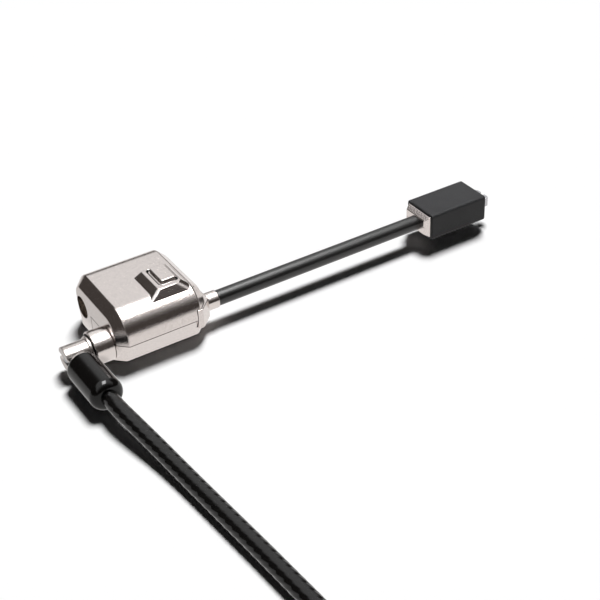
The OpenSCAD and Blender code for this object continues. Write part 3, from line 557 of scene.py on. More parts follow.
class Finishes(Enum):
    """The lock's finishes."""

    NICKEL = Finish(
        "satin_nickel", colour=(0.82, 0.755, 0.73), shade=(0.56, 0.515, 0.495), rough=(0.12, 0.16),
        grain=(2600.0, 0.2, 0.25), metallic=1.0,
    )
    TURNED = Finish(
        "turned_nickel", colour=(0.77, 0.715, 0.69), shade=(0.69, 0.635, 0.61), rough=(0.13, 0.2),
        grain=(5200.0, 0.07, 0.1), metallic=1.0, turned=0.5,
    )
    FORK = Finish(
        "fork_nickel", colour=(0.63, 0.585, 0.565), shade=(0.5, 0.46, 0.44), rough=(0.15, 0.22),
        grain=(5200.0, 0.07, 0.1), metallic=1.0, turned=0.5,
    )
    STEEL = Finish(
        "bright_steel", colour=(0.6, 0.6, 0.62), shade=(0.48, 0.48, 0.5), rough=(0.22, 0.34),
        grain=(3000.0, 0.12, 0.2), metallic=1.0,
    )
    BRASS = Finish(
        "lock_brass", colour=(0.78, 0.74, 0.66), shade=(0.6, 0.57, 0.5), rough=(0.24, 0.38),
        grain=(3000.0, 0.12, 0.2), metallic=1.0,
    )
    SHEATH = Finish(
        "sheath_plastic", colour=(0.008, 0.0076, 0.0074), shade=(0.005, 0.0048, 0.0046), rough=(0.27, 0.35),
        grain=(2500.0, 0.1, 0.1), specular=0.75,
    )
    HEAD = Finish(
        "soft_touch_black", colour=(0.03, 0.03, 0.0315), shade=(0.019, 0.019, 0.02), rough=(0.5, 0.62),
        grain=(3500.0, 0.35, 0.4), specular=0.28,
    )
    BOOT = Finish(
        "boot_gloss", colour=(0.004, 0.0036, 0.0034), shade=(0.0025, 0.0023, 0.0022), rough=(0.1, 0.16),
        grain=(1800.0, 0.04, 0.1), specular=0.37,
    )
    CABLE = Finish(
        "cable_coating", colour=(0.006, 0.0057, 0.0055), shade=(0.004, 0.0038, 0.0036), rough=(0.1, 0.15),
        grain=(1600.0, 0.05, 0.1), specular=0.4,
    )
    # Dark finish that paints shade into hollows, seams and the barrel's mouth.
    PAINTED_SHADE = Finish(
        "painted_shade_dark", colour=(0.045, 0.041, 0.038), shade=(0.025, 0.023, 0.021), rough=(0.5, 0.62),
        grain=(3000.0, 0.25, 0.3), specular=0.25,
    )
    STRAP = Finish(
        "strap_weave", colour=(0.03, 0.03, 0.031), shade=(0.02, 0.02, 0.021), rough=(0.5, 0.65),
        grain=(3500.0, 0.3, 0.3),
    )


@dataclass
class Assembly:
    """Base of the sub-assemblies, which finishes their pieces."""

    effects: Effects

    def build(self) -> None:
        """Makes the pieces, in each sub-assembly's own way."""
        raise NotImplementedError

    def seat(
        self, bm: Solid, name: str, finish: Finishes, body: Body, slot: str, *nodes: str,
        sharp: float = SHARP, crease: Optional[EdgeTest] = None, weigh: bool = True,
        painted_shade_at: Optional[PlaceTest] = None,
    ) -> bpy.types.Object:
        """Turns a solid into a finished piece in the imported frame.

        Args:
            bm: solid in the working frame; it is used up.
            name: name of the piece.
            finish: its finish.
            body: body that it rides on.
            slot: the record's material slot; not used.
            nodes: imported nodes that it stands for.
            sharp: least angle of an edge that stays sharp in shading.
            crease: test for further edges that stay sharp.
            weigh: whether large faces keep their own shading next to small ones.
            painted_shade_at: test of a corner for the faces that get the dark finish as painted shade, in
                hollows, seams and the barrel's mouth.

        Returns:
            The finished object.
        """
        for face in bm.faces:
            face.smooth = True
            # Faces that pass the test take the second, dark material: painted shade.
            face.material_index = int(painted_shade_at is not None and any(painted_shade_at(v.co) for v in face.verts))
        for edge in bm.edges:
            wide = len(edge.link_faces) == 2 and edge.calc_face_angle(0) > math.radians(sharp)
            edge.smooth = not wide and not (crease is not None and crease(edge))
        mesh = bpy.data.meshes.new(name)
        moved(bm, TO_FRAME).to_mesh(mesh)
        bm.free()
        for used in [finish] if painted_shade_at is None else [finish, Finishes.PAINTED_SHADE]:
            mesh.materials.append(used.value.material(self.effects))
        piece = bpy.data.objects.new(name, mesh)
        bpy.context.scene.collection.objects.link(piece)
        if weigh:
            even = piece.modifiers.new("even_shading", "WEIGHTED_NORMAL")
            even.keep_sharp = True
        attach(piece, body.value)
        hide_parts(*nodes)
        LOG.info("piece %s: %d faces on %s", name, len(mesh.polygons), body.value)
        return piece

    def dress(self, node: str, finish: Finishes) -> None:
        """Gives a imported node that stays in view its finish.

        Args:
            node: name of the node.
            finish: its finish.
        """
        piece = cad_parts[node]
        piece.data.materials.clear()
        piece.data.materials.append(finish.value.material(self.effects))
        LOG.info("node %s dressed as %s", node, finish.value.name)


# Sub-assemblies


@dataclass
class LockBody(Assembly):
    """Two cast shells with the bezel, and the block between them that carries the tube.

    A bore is given as where it starts, where it ends and its radius.
    """

    length: float = 27.2
    depth: float = 30.5
    height: float = 15.6
    chamfer: float = 2.7
    chamfer_soft: float = 0.4
    sole: float = 0.1
    part_z: float = 6.8
    seam: float = 0.24
    front_round: float = 8.0
    front_crease: float = 8.0
    back_round: float = 6.0
    front_lean: float = 3.4
    back_lean: float = 1.2
    barrel_y: float = SWIVEL[0]
    barrel_z: float = SWIVEL[1]
    barrel_r: float = 4.8
    barrel_bore: Point3 = (-1.0, 7.04, 3.94)
    boss_x: Point2 = (0.02, 3.7)
    key_y: float = 24.4
    key_bores: tuple[Point3, ...] = ((-1.0, 3.6, 3.3), (2.56, 14.74, 4.34), (14.0, 19.45, 4.3))
    latch_way: Sides = (17.15, 18.85, 17.05, 24.4)
    latch_half: float = 1.15
    pod_x: float = 2.75
    pod_y: float = 19.0
    # Edge of the keyhole's mouth that stays bright, and the depth under the outside past which faces get
    # painted shade.
    mouth_edge: float = 0.05
    painted_shade_depth: float = 0.06
    rim: Sides = (15.3, 22.45, 5.7, 16.45)
    ramps: Sides = (2.2, 1.6, 0.95, 0.3)
    ramp_run: float = 1.9
    rim_soft: float = 0.22
    bezel_h: float = 1.4
    corners: dict[tuple[bool, bool], float] = field(default_factory=lambda: {
        (True, True): 1.7, (False, True): 0.7, (True, False): 0.5, (False, False): 0.4,
    })
    pocket: Sides = (16.4, 22.05, 7.2, 16.05)
    pocket_z: Point2 = (11.4, 20.0)
    pocket_r: float = 0.75
    pocket_soft: float = 0.12
    chamber: Sides = (13.6, 24.3, 4.2, 18.05)
    chamber_z: Point2 = (4.4, 12.4)
    screws: Outline = ((4.5, 15.9), (10.3, 7.8), (24.7, 21.9))
    screw_hole: Outline = (
        (-1, 0), (-1, 1.52), (1.7, 1.52), (1.7, 1.02), (6.8, 1.02), (6.8, 0.94), (11.2, 0.94), (11.2, 0),
    )
    block: Outline = (
        (23.4, 0.15), (25, 0.15), (28.8, 3.95), (28.8, 9.4), (27.2, 11), (24.3, 11), (24.3, 2.4), (23.4, 2.4),
    )
    block_z: Point2 = (3.8, 9.8)
    block_soft: float = 0.28
    block_bores: tuple[Point3, ...] = ((23.0, 25.4, 0.95), (25.3, 30.0, 2.59))
    block_rooms: tuple[Sides, ...] = ((23.2, 29.0, -1.0, 2.6), (24.1, 29.0, -1.0, 11.2))
    block_room_z: Point2 = (3.6, 10.0)
    tube: Point2 = TUBE
    outside: Point2 = (-3.0, 40.0)

    @property
    def rim_z(self) -> float:
        """Height of the bezel's rim."""
        return self.height + self.bezel_h

    def outline(self, inset: float) -> list[Point2]:
        """Section of the body seen from its end, drawn in by an inset.

        Args:
            inset: distance from the full outline.

        Returns:
            Points as (y, z), from the front's foot to the back's.
        """
        low = self.height - self.front_round * math.cos(math.radians(self.front_crease))
        back = (self.depth - self.back_round, self.height - self.back_round)
        return [
            (self.front_lean + inset, 0.0), (inset, self.part_z),
            *arc((self.front_round, low), self.front_round - inset, 180, 90 + self.front_crease, steps=26),
            *arc(back, self.back_round - inset, 90, 0, steps=22),
            (self.depth - inset, self.part_z), (self.depth - self.back_lean - inset, 0.0),
        ]

    def whole(self) -> Solid:
        """Closed body with soft chamfer edges and the boss that the swivel stands on.

        Returns:
            The solid.
        """
        cuts = (
            (0.0, self.chamfer), (self.chamfer, 0.0), (self.length - self.chamfer, 0.0),
            (self.length, self.chamfer),
        )
        body = loft([[Vector((x, y, z)) for y, z in self.outline(inset)] for x, inset in cuts])
        soften(
            body, self.chamfer_soft, angle=35,
            where=lambda e: (e.verts[0].co.z + e.verts[1].co.z) / 2 > self.sole,
        )
        boss = rod(Axis.X, *self.boss_x, self.barrel_r, self.barrel_y, self.barrel_z, sides=72)
        return combine(body, [(Cut.WITH, boss)])

    def bezel(self) -> Solid:
        """Raised frame round the button, with a ramp on each side that runs into the body.

        Returns:
            The solid.
        """
        x0, x1, y0, y1 = self.rim
        left, right, front, back = (ramp * self.ramp_run for ramp in self.ramps)
        low = rectangle(x0 - left, x1 + right, y0 - front, y1 + back)
        foot = [Vector((x, y, self.rim_z - self.bezel_h * self.ramp_run)) for x, y in low]
        top = [Vector((x, y, self.rim_z)) for x, y in rectangle(x0, x1, y0, y1)]
        solid = loft([foot, top])
        for corner, width in self.corners.items():
            soften(solid, width, segments=8, angle=20, where=lambda e: self._slanted(e, corner))
        return soften(solid, self.rim_soft, angle=20, where=self._on_rim)

    def _slanted(self, edge: Edge, corner: tuple[bool, bool]) -> bool:
        """Whether an edge runs down one corner of the bezel, given as (at its right, at its front).

        Args:
            edge: the edge.
            corner: the corner.

        Returns:
            True if it does.
        """
        x0, x1, y0, y1 = self.rim
        low, high = sorted(edge.verts, key=lambda v: v.co.z)
        here = (low.co.x > (x0 + x1) / 2, low.co.y < (y0 + y1) / 2)
        return high.co.z - low.co.z > self.bezel_h and here == corner

    def _on_rim(self, edge: Edge) -> bool:
        """Whether an edge lies on the bezel's flat rim."""
        return all(abs(v.co.z - self.rim_z) < TOUCH for v in edge.verts)

    def _on_crease(self, edge: Edge) -> bool:
        """Whether an edge lies on the crease between the flat top and the rounded front."""
        y, near = self.front_round * (1 - math.sin(math.radians(self.front_crease))), 2 * TOUCH
        return all(abs(v.co.y - y) < near and abs(v.co.z - self.height) < near for v in edge.verts)

    def hollows(self) -> list[tuple[Cut, Solid]]:
        """Everything that is hollowed out of the two shells.

        Returns:
            Steps for combine().
        """
        gone = [
            box(*self.chamber, *self.chamber_z),
            prism(rounded(*self.pocket, self.pocket_r), Axis.Z, *self.pocket_z),
            *(rod(Axis.X, *bore, self.key_y, self.part_z) for bore in self.key_bores),
            box(*self.latch_way, self.part_z - self.latch_half, self.part_z + self.latch_half),
            rod(Axis.X, *self.barrel_bore, self.barrel_y, self.barrel_z),
            *(box(*room, *self.block_room_z) for room in self.block_rooms),
            *(lathe(self.screw_hole, Axis.Z, x, y, hollow=False, steps=32) for x, y in self.screws),
        ]
        return [(Cut.AWAY, solid) for solid in gone]

    def build(self) -> None:
        """Makes the shells and the block."""
        low, high = self.outside
        split = self.part_z + self.seam / 2
        skin = BVHTree.FromBMesh(combine(self.whole(), [(Cut.WITH, self.bezel())]))

        def inside(place: Vector) -> bool:
            """Whether a place gets painted shade: deeper under the outside than the set depth, and not in the
            mouth of the keyhole.
            """
            mouth = place.x < self.pod_x - self.mouth_edge and place.y > self.pod_y
            return not mouth and skin.find_nearest(place)[3] > self.painted_shade_depth

        upper = combine(self.whole(), [
            (Cut.WITH, self.bezel()),
            (Cut.AWAY, box(low, high, low, self.pod_y, low, split)),
            (Cut.AWAY, box(self.pod_x, high, low, high, low, split)),
            *self.hollows(),
        ])
        soften(upper, self.pocket_soft, segments=2, angle=50, where=self._on_rim)
        self.seat(
            upper, "upper_shell_cast", Finishes.NICKEL, Body.LOCK, "nickel", "upper_shell", sharp=12,
            crease=self._on_crease, painted_shade_at=inside,
        )
        lower = combine(self.whole(), [
            (Cut.AWAY, box(low, high, low, high, self.part_z - self.seam / 2, high)),
            (Cut.AWAY, box(low, self.pod_x + self.seam, self.pod_y - self.seam, high, low, high)),
            *self.hollows(),
        ])
        self.seat(
            lower, "lower_shell_cast", Finishes.NICKEL, Body.LOCK, "nickel", "lower_shell", sharp=12,
            painted_shade_at=inside,
        )
        block = combine(
            soften(prism(self.block, Axis.Z, *self.block_z), self.block_soft),
            [(Cut.AWAY, rod(Axis.X, *bore, *self.tube)) for bore in self.block_bores],
        )
        self.seat(block, "tube_block", Finishes.NICKEL, Body.LOCK, "nickel", "cable_block")


@dataclass
class PushButton(Assembly):
    """Stepped button with the flange and wedge stem under it."""

    rim_z: float = LockBody.height + LockBody.bezel_h
    pad: Sides = (17.4, 21.8, 8.2, 15.8)
    ledge: Sides = (16.65, 21.8, 7.45, 15.8)
    flange: Sides = (15.75, 23.3, 6.55, 17.3)
    corner: float = 0.5
    ledge_corner: float = 1.175
    pad_rise: float = 0.6
    pad_root: float = 0.2
    pad_soft: float = 0.28
    ledge_drop: float = 0.25
    ledge_root: float = 0.1
    ledge_soft: float = 0.16
    flange_z: Point2 = (11.25, 12.25)
    stem: Outline = ((16.85, 6.05), (19.8, 9.0), (19.8, 11.4), (16.85, 11.4))
    stem_y: Point2 = (9.7, 14.3)

    @staticmethod
    def _step(plan: Sequence[Point2], low: float, top: float, soft: float, segments: int) -> Solid:
        """Step of the button with a soft top edge."""
        solid = prism(plan, Axis.Z, low, top)
        return soften(solid, soft, segments, angle=60, where=lambda e: e.verts[0].co.z > top - TOUCH)

    def build(self) -> None:
        """Makes the button as one piece."""
        low = self.flange_z[0]
        pad_z, ledge_z = self.rim_z + self.pad_rise, self.rim_z - self.ledge_drop
        plan = rounded(*self.pad, self.corner)
        pad = self._step(plan, low + self.pad_root, pad_z, self.pad_soft, segments=4)
        plan = rounded(*self.ledge, self.ledge_corner)
        ledge = self._step(plan, low + self.ledge_root, ledge_z, self.ledge_soft, segments=3)
        whole = combine(ledge, [
            (Cut.WITH, pad),
            (Cut.WITH, prism(rounded(*self.flange, self.corner), Axis.Z, *self.flange_z)),
            (Cut.WITH, prism(self.stem, Axis.Y, *self.stem_y)),
        ])
        self.seat(whole, "push_button_pad", Finishes.NICKEL, Body.BUTTON, "nickel", "push_button")


@dataclass
class Swivel(Assembly):
    """Barrel in the body's left end, fork that turns in it, and the pin across the fork.

    The barrel and the fork are given as turned profiles: distance along X, and radius.
    """

    y: float = SWIVEL[0]
    z: float = SWIVEL[1]
    barrel: Outline = (
        (-5.4, 2.3), (-5.4, 4.8), (-0.04, 4.8), (-0.04, 3.9), (7, 3.9), (7, 3.25), (5.5, 3.25), (5.5, 2.3),
    )
    barrel_soft: float = 0.35
    # End and radius of the barrel's mouth whose inner ring gets painted shade.
    barrel_mouth: Point2 = (0.4, 4.4)
    fork: Outline = (
        (-13.05, 0.0), (-13.05, 3.4), (-6.35, 3.4), (-6.35, 3.9), (-5.55, 3.9), (-5.55, 2.25), (6.25, 2.25),
        (6.25, 0.0),
    )
    fork_soft: float = 0.22
    fork_back: float = 8.0
    turn_r: float = 4.0
    slot: Sides = (-15.0, -7.4, 0.0, 16.0)
    slot_half: float = 0.85
    slot_soft: float = 0.14
    soft_until: float = -7.2
    soft_from_pin: float = 1.5
    pin_x: float = PIN_X
    pin_r: float = 1.2
    pin_half: float = 4.0
    pin_trim: float = 3.38
    hole_r: float = 1.22
    tall: Point2 = (-2.0, 12.0)
    facets: int = 96
    pin_facets: int = 48

    def build(self) -> None:
        """Makes the barrel, the fork and the pin."""
        mouth, rim = self.barrel[0][0] + self.barrel_mouth[0], self.barrel_mouth[1]
        wall = eased(self.barrel, self.barrel_soft)
        barrel = lathe(wall, Axis.X, self.y, self.z, hollow=True, steps=self.facets)
        # The inner ring of the barrel's mouth takes the dark finish as painted shade.
        self.seat(
            barrel, "swivel_barrel_turned", Finishes.TURNED, Body.LOCK, "nickel", "swivel_barrel",
            painted_shade_at=lambda p: p.x < mouth and math.hypot(p.y - self.y, p.z - self.z) < rim,
        )
        plan = arc((self.pin_x, self.y), self.turn_r, 90, 270, steps=40)
        plan += [(self.fork_back, self.y + turn) for turn in (-self.turn_r, self.turn_r)]
        shape = eased(self.fork, self.fork_soft, closed=False)
        fork = combine(lathe(shape, Axis.X, self.y, self.z, hollow=False, steps=self.facets), [
            (Cut.SHARED, prism(plan, Axis.Z, *self.tall)),
            (Cut.AWAY, box(*self.slot, self.z - self.slot_half, self.z + self.slot_half)),
            (Cut.AWAY, rod(Axis.Z, *self.tall, self.hole_r, self.pin_x, self.y, self.pin_facets)),
        ])
        soften(fork, self.slot_soft, segments=2, angle=50, where=self._clear_of_pin)
        self.seat(fork, "swivel_fork_turned", Finishes.FORK, Body.FORK, "nickel", "swivel_fork")
        low, high = self.z - self.pin_half, self.z + self.pin_half
        pin = rod(Axis.Z, low, high, self.pin_r, self.pin_x, self.y, self.pin_facets)
        round_side = rod(Axis.X, self.fork[0][0], 0, self.pin_trim, self.y, self.z, self.facets)
        pin = combine(pin, [(Cut.SHARED, round_side)])
        self.seat(pin, "fork_pin_riveted", Finishes.FORK, Body.FORK, "steel", "fork_pin")

    def _clear_of_pin(self, edge: Edge) -> bool:
        """Whether an edge lies on the fork's arms and away from the hole of the pin."""
        hole, clear = Vector((self.pin_x, self.y)), self.soft_from_pin
        return all(v.co.x < self.soft_until and (v.co.xy - hole).length > clear for v in edge.verts)


@dataclass
class Tube(Assembly):
    """Ferrule and sheathed tube that lead to the head, as turned profiles along X."""

    y: float = TUBE[0]
    z: float = TUBE[1]
    ferrule: Outline = (
        (25.3, 0.95), (25.3, 2.55), (32.2, 2.55), (32.2, 2.27), (26.3, 2.27), (26.3, 0.95),
    )
    ferrule_soft: float = 0.12
    sheath: Outline = ((26.3, 0.95), (26.3, 2.25), (103.7, 2.25), (103.7, 0.95))
    sheath_soft: float = 0.1

    def build(self) -> None:
        """Makes the ferrule and the sheath."""
        ferrule = lathe(eased(self.ferrule, self.ferrule_soft), Axis.X, self.y, self.z, hollow=True)
        self.seat(ferrule, "tube_ferrule_turned", Finishes.TURNED, Body.LOCK, "nickel", "tube_ferrule")
        sheath = lathe(eased(self.sheath, self.sheath_soft), Axis.X, self.y, self.z, hollow=True)
        self.seat(sheath, "tube_sheath", Finishes.SHEATH, Body.LOCK, "sheath", "sheath")


@dataclass
class Head(Assembly):
    """Bevelled metal frame in a soft black cover, and the two hooks.

    A room is given as where it starts, its width and its height.
    """

    y: float = TUBE[0]
    z: float = 7.1
    hook_z: float = TUBE[1]
    frame_x: Point2 = (100.4, 121.26)
    frame_size: Point2 = (10.7, 6.7)
    frame_r: float = 0.3
    frame_soft: float = 0.2
    bevel: float = 1.0
    bevel_run: float = 1.6
    parting: Point2 = (20.0, 0.14)
    parting_deep: float = 0.3
    sheath_end: float = 103.7
    sheath_r: float = 2.29
    wire_r: float = 0.95
    spreader_room: Point3 = (106.0, 1.4, 2.5)
    hook_room: Point3 = (110.5, 9.0, 2.9)
    cover_x: Point2 = (102.1, 122.3)
    cover_size: Point2 = (12.3, 8.3)
    cover_round: float = 0.9
    cover_soft: float = 0.45
    cover_gap: float = 0.08
    cover_wall: float = 1.0
    cover_mouth: Point2 = (6.73, 2.9)
    hook_x: float = 112.4
    hook_half: float = 1.3
    hook_soft: float = 0.12
    soft_from: float = 121.9
    finger: Outline = (
        (112.4, 0.75), (119.0, 0.75), (119.5, 0.25), (121.3, 0.25), (121.8, 0.75), (126.2, 0.75),
        (126.2, 2.2), (125.5, 3.3), (124.1, 3.3), (124.1, 2.2), (112.4, 2.2),
    )
    eye_side: float = 2.6
    eye_r: float = 1.6
    eye_bore: float = 0.85

    def _ring(self, x: float, size: Point2, inset: float, r: float) -> list[Vector]:
        """Rounded section of the head at a place along it."""
        w, h = size[0] / 2 - inset, size[1] / 2 - inset
        return [Vector((x, self.y + a, self.z + b)) for a, b in rounded(-w, w, -h, h, r, steps=8)]

    def _across(self, x0: float, x1: float, w: float, h: float, z: float) -> Solid:
        """Box about the head's axis."""
        return box(x0, x1, self.y - w / 2, self.y + w / 2, z - h / 2, z + h / 2)

    def build(self) -> None:
        """Makes the frame, the cover and the hooks."""
        self._frame()
        self._cover()
        self._hook(1, "hook_back_cut", "hook_back_side", Body.BACK_HOOK)
        self._hook(-1, "hook_front_cut", "hook_front_side", Body.FRONT_HOOK)

    def _frame(self) -> None:
        """Makes the metal frame with its bores and rooms."""
        x0, x1 = self.frame_x
        steps = ((x0, self.bevel), (x0 + self.bevel_run, 0), (x1, 0))
        solid = loft([self._ring(x, self.frame_size, inset, self.frame_r) for x, inset in steps])
        spreader, hooks = self.spreader_room, self.hook_room
        metal = combine(soften(solid, self.frame_soft), [
            (Cut.AWAY, rod(Axis.X, x0 - PAST, self.sheath_end, self.sheath_r, self.y, self.hook_z)),
            (Cut.AWAY, self._across(x0 - PAST, x0 + self.parting_deep, *self.parting, self.z)),
            (Cut.AWAY, rod(Axis.X, x0, self.hook_x, self.wire_r, self.y, self.hook_z)),
            (Cut.AWAY, self._across(spreader[0], self.hook_x, *spreader[1:], self.hook_z)),
            (Cut.AWAY, self._across(hooks[0], x1 + PAST, *hooks[1:], self.hook_z)),
        ])
        self.seat(metal, "head_frame_cast", Finishes.NICKEL, Body.LOCK, "nickel", "head_frame")

    def _cover(self) -> None:
        """Makes the black cover with rounded ends."""
        x0, x1 = self.cover_x
        soft = self.cover_soft
        turns = [math.radians(a) for a in (90, 60, 30, 0)]
        steps = [(x0 + soft * (1 - math.sin(t)), soft * (1 - math.cos(t))) for t in turns]
        steps += [(x0 + x1 - x, inset) for x, inset in reversed(steps)]
        rings = [self._ring(x, self.cover_size, inset, self.cover_round - inset / 2) for x, inset in steps]
        w, h = (size + self.cover_gap for size in self.frame_size)
        cover = combine(loft(rings), [
            (Cut.AWAY, self._across(x0 - PAST, x1 - self.cover_wall, w, h, self.z)),
            (Cut.AWAY, self._across(x0, x1 + PAST, *self.cover_mouth, self.hook_z)),
        ])
        self.seat(cover, "head_cover_moulded", Finishes.HEAD, Body.LOCK, "head_black", "head_cover")

    def _hook(self, side: int, name: str, node: str, body: Body) -> None:
        """Makes one hook.

        Args:
            side: 1 at the back and -1 at the front.
            name: name of the piece.
            node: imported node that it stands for.
            body: body that it rides on.
        """
        low, high = self.hook_z - self.hook_half, self.hook_z + self.hook_half
        blade = prism([(x, self.y + side * y) for x, y in self.finger], Axis.Z, low, high)
        eye_y = self.y + side * self.eye_side
        hook = combine(blade, [
            (Cut.WITH, rod(Axis.Z, low, high, self.eye_r, self.hook_x, eye_y, sides=40)),
            (Cut.AWAY, rod(Axis.Z, low - PAST, high + PAST, self.eye_bore, self.hook_x, eye_y, sides=40)),
        ])
        soften(
            hook, self.hook_soft, segments=2, angle=40,
            where=lambda e: min(v.co.x for v in e.verts) > self.soft_from,
        )
        self.seat(hook, name, Finishes.STEEL, body, "steel", node)


@dataclass
class FreeCable(Assembly):
    """Boot, coated cable with its coil and eye, and the pieces on it.

    The cable's own frame starts at the fork's pin, and the cable leaves it towards -Y.
    """

    pin: Point3 = (PIN_X, *SWIVEL)
    turn: float = 1.0
    diameter: float = 4.6
    stated_length: float = 1.87
    boot: Point2 = (4.3, 21.7)
    boot_r: float = 4.6
    boot_round: float = 2.4
    boot_sharp: float = 50.0
    held_in_boot: float = 1.0
    coil_x: float = 7.0
    coil_y: float = -194.0
    coil_z: float = 3.9
    coil_r: Point2 = (33.0, 20.85)
    loops: int = 9
    layers: int = 4
    layer_step: float = 5.3
    eye_side: float = 2.7
    throat_r: float = 20.0
    eye_r: float = 18.0
    tail_r: float = 18.0
    tail_rise: float = 6.5
    tail_lead: float = 0.3
    tail_climb: float = 0.45
    layer_climb: float = 0.5
    strands: int = 10
    lay: float = 28.0
    dent: float = 0.09
    sides: int = 40
    step: float = 1.0
    loop_steps: int = 24
    tail_step: int = 15
    throat_steps: int = 4
    eye_steps: int = 20
    smooth_steps: int = 8
    floor_run: tuple[Point3, ...] = (
        (0.8, -34, 4.3), (2, -44, 3.2), (2.9, -54, 2.5), (3.6, -64, 2.3), (4.3, -75, 2.3), (5, -86, 2.3),
        (5.6, -97, 2.3), (6.2, -108, 2.3), (6.6, -119, 2.4), (6.9, -130, 2.6), (7, -145, 3), (7, -160, 3.5),
        (7, -173, 3.8),
    )
    tongue_r: float = 2.7
    tongue_half: float = 0.75
    tongue_neck: float = 1.565
    tongue_root: Outline = ((-2.2, -6.8), (2.2, -6.8))
    pin_hole: Point3 = (0.0, 12.0, 1.25)
    sleeve: Point3 = (-14.8, -5.8, 3.3)
    ferrule_l: float = 14.0
    ferrule_r: float = 3.0
    ferrule_soft: float = 0.4
    tie_gap: float = 0.6
    tie_half: float = 4.0
    tie_thick: float = 1.0
    tie_round: Point2 = (1.6, 0.8)
    tie_soft: float = 0.2

    @property
    def place(self) -> Matrix:
        """Moves the cable's own frame, with heights over the floor, to the working frame."""
        x, y, _ = self.pin
        return Matrix.Translation((x, y, 0)) @ Matrix.Rotation(math.radians(self.turn), 4, "Z")

    @staticmethod
    def _ease(t: float) -> float:
        """Smooth step from 0 to 1."""
        t = max(0.0, min(1.0, t))
        return t * t * (3 - 2 * t)

    def height(self, u: float) -> float:
        """Height of the cable's middle after u loops: layer by layer, and over the strap near the end.

        Args:
            u: loops since the coil's start.

        Returns:
            The height over the floor.
        """
        per = self.loops / self.layers
        climbed = sum(self._ease((u - k * per) / self.layer_climb + 0.5) for k in range(1, self.layers))
        over = self._ease((u - self.loops + self.tail_lead) / self.tail_climb)
        return self.coil_z + self.layer_step * climbed + self.tail_rise * over

    def coil_point(self, u: float) -> Vector:
        """Point of the coil after u loops.

        Args:
            u: loops since the coil's start.

        Returns:
            The point.
        """
        per = self.loops / self.layers
        k = min(self.layers - 1, int(u / per))
        w = u / per - k
        swing = w if k % 2 == 0 else 1 - w
        r = self.coil_r[0] - swing * (self.coil_r[0] - self.coil_r[1])
        a = math.tau * u
        x = self.coil_x + self.coil_r[0] - r * math.cos(a)
        return Vector((x, self.coil_y - r * math.sin(a), self.height(u)))

    def tail_point(self, angle: float) -> Vector:
        """Point of the quarter turn that leads the end in over the coil.

        Args:
            angle: degrees since the turn's start.

        Returns:
            The point.
        """
        a = math.radians(angle)
        x = self.coil_x + self.tail_r * (1 - math.cos(a))
        u = self.loops + self.tail_r * angle / (360 * self.coil_r[0])
        return Vector((x, self.coil_y - self.tail_r * math.sin(a), self.height(u)))

    @property
    def tail(self) -> Vector:
        """Where the cable enters the ferrule of its end loop."""
        return self.tail_point(90) + Vector((self.diameter, 0, 0))

    def eye_points(self) -> list[Vector]:
        """Route of the end loop, out of the ferrule and back into it.

        Returns:
            Its points.
        """
        side = self.eye_side + self.throat_r
        run = math.sqrt((self.throat_r + self.eye_r) ** 2 - side ** 2)
        turn = math.atan2(run, side)
        throat = [turn * i / self.throat_steps for i in range(self.throat_steps + 1)]
        legs = [(side - self.throat_r * math.cos(a), self.throat_r * math.sin(a)) for a in throat]
        bow = [(math.pi + 2 * turn) * i / self.eye_steps - turn for i in range(1, self.eye_steps)]
        line = [
            (self.eye_side, -self.diameter), *legs,
            *((self.eye_r * math.cos(a), run + self.eye_r * math.sin(a)) for a in bow),
            *((-x, y) for x, y in reversed(legs)), (-self.eye_side, -self.diameter),
        ]
        start = self.tail + Vector((self.ferrule_l + self.diameter, self.eye_side, 0))
        return [start + Vector((y, -x, 0)) for x, y in line]

    def route(self) -> list[Vector]:
        """Points of the whole cable's middle, in its own frame.

        Returns:
            The points, from the boot to the end.
        """
        axis, end = self.pin[2], -self.boot[1]
        out = [Vector((0, end + self.held_in_boot, axis)), Vector((0, end - self.diameter, axis))]
        out += [Vector(p) for p in self.floor_run]
        out += [Vector((self.coil_x, self.coil_y + k * self.diameter, self.coil_z)) for k in (2, 1)]
        out += [self.coil_point(i / self.loop_steps) for i in range(self.loops * self.loop_steps + 1)]
        out += [self.tail_point(a) for a in range(self.tail_step, 90 + 1, self.tail_step)]
        return out + [self.tail] + self.eye_points()

    def fine_route(self) -> list[Vector]:
        """The route as a smooth line in the working frame, with even steps.

        Returns:
            Its points.
        """
        points = self.route()
        dense: list[Vector] = []
        for i in range(len(points) - 1):
            a, b = points[i], points[i + 1]
            before, after = points[max(0, i - 1)], points[min(len(points) - 1, i + 2)]
            length = (b - a).length
            ta = (b - before).normalized() * length
            tb = (after - a).normalized() * length
            for k in range(self.smooth_steps):
                t = k / self.smooth_steps
                dense.append(
                    a * (2 * t ** 3 - 3 * t ** 2 + 1) + ta * (t ** 3 - 2 * t ** 2 + t)
                    + b * (3 * t ** 2 - 2 * t ** 3) + tb * (t ** 3 - t ** 2)
                )
        dense.append(points[-1])
        even, left = [dense[0]], self.step
        for a, b in zip(dense, dense[1:]):
            gap = (b - a).length
            while gap >= left:
                a = a + (b - a) * (left / gap)
                even.append(a)
                gap -= left
                left = self.step
            left -= gap
        even.append(dense[-1])
        return [self.place @ p for p in even]

    def strand_ring(self, line: Sequence[Vector], i: int, along: float) -> list[Vector]:
        """Section of the cable: a coating that follows the twisted strands under it.

        Args:
            line: points of the cable's middle.
            i: number of the section's point.
            along: distance from the cable's start.

        Returns:
            The ring of points.
        """
        way = (line[min(i + 1, len(line) - 1)] - line[max(i - 1, 0)]).normalized()
        side = way.cross(Vector((0, 0, 1))).normalized()
        up = side.cross(way)
        ring = []
        for k in range(self.sides):
            a = math.tau * k / self.sides
            r = self.diameter / 2 - self.dent * (0.5 - 0.5 * math.cos(self.strands * a))
            a += math.tau * along / self.lay
            ring.append(line[i] + side * (r * math.cos(a)) + up * (r * math.sin(a)))
        return ring

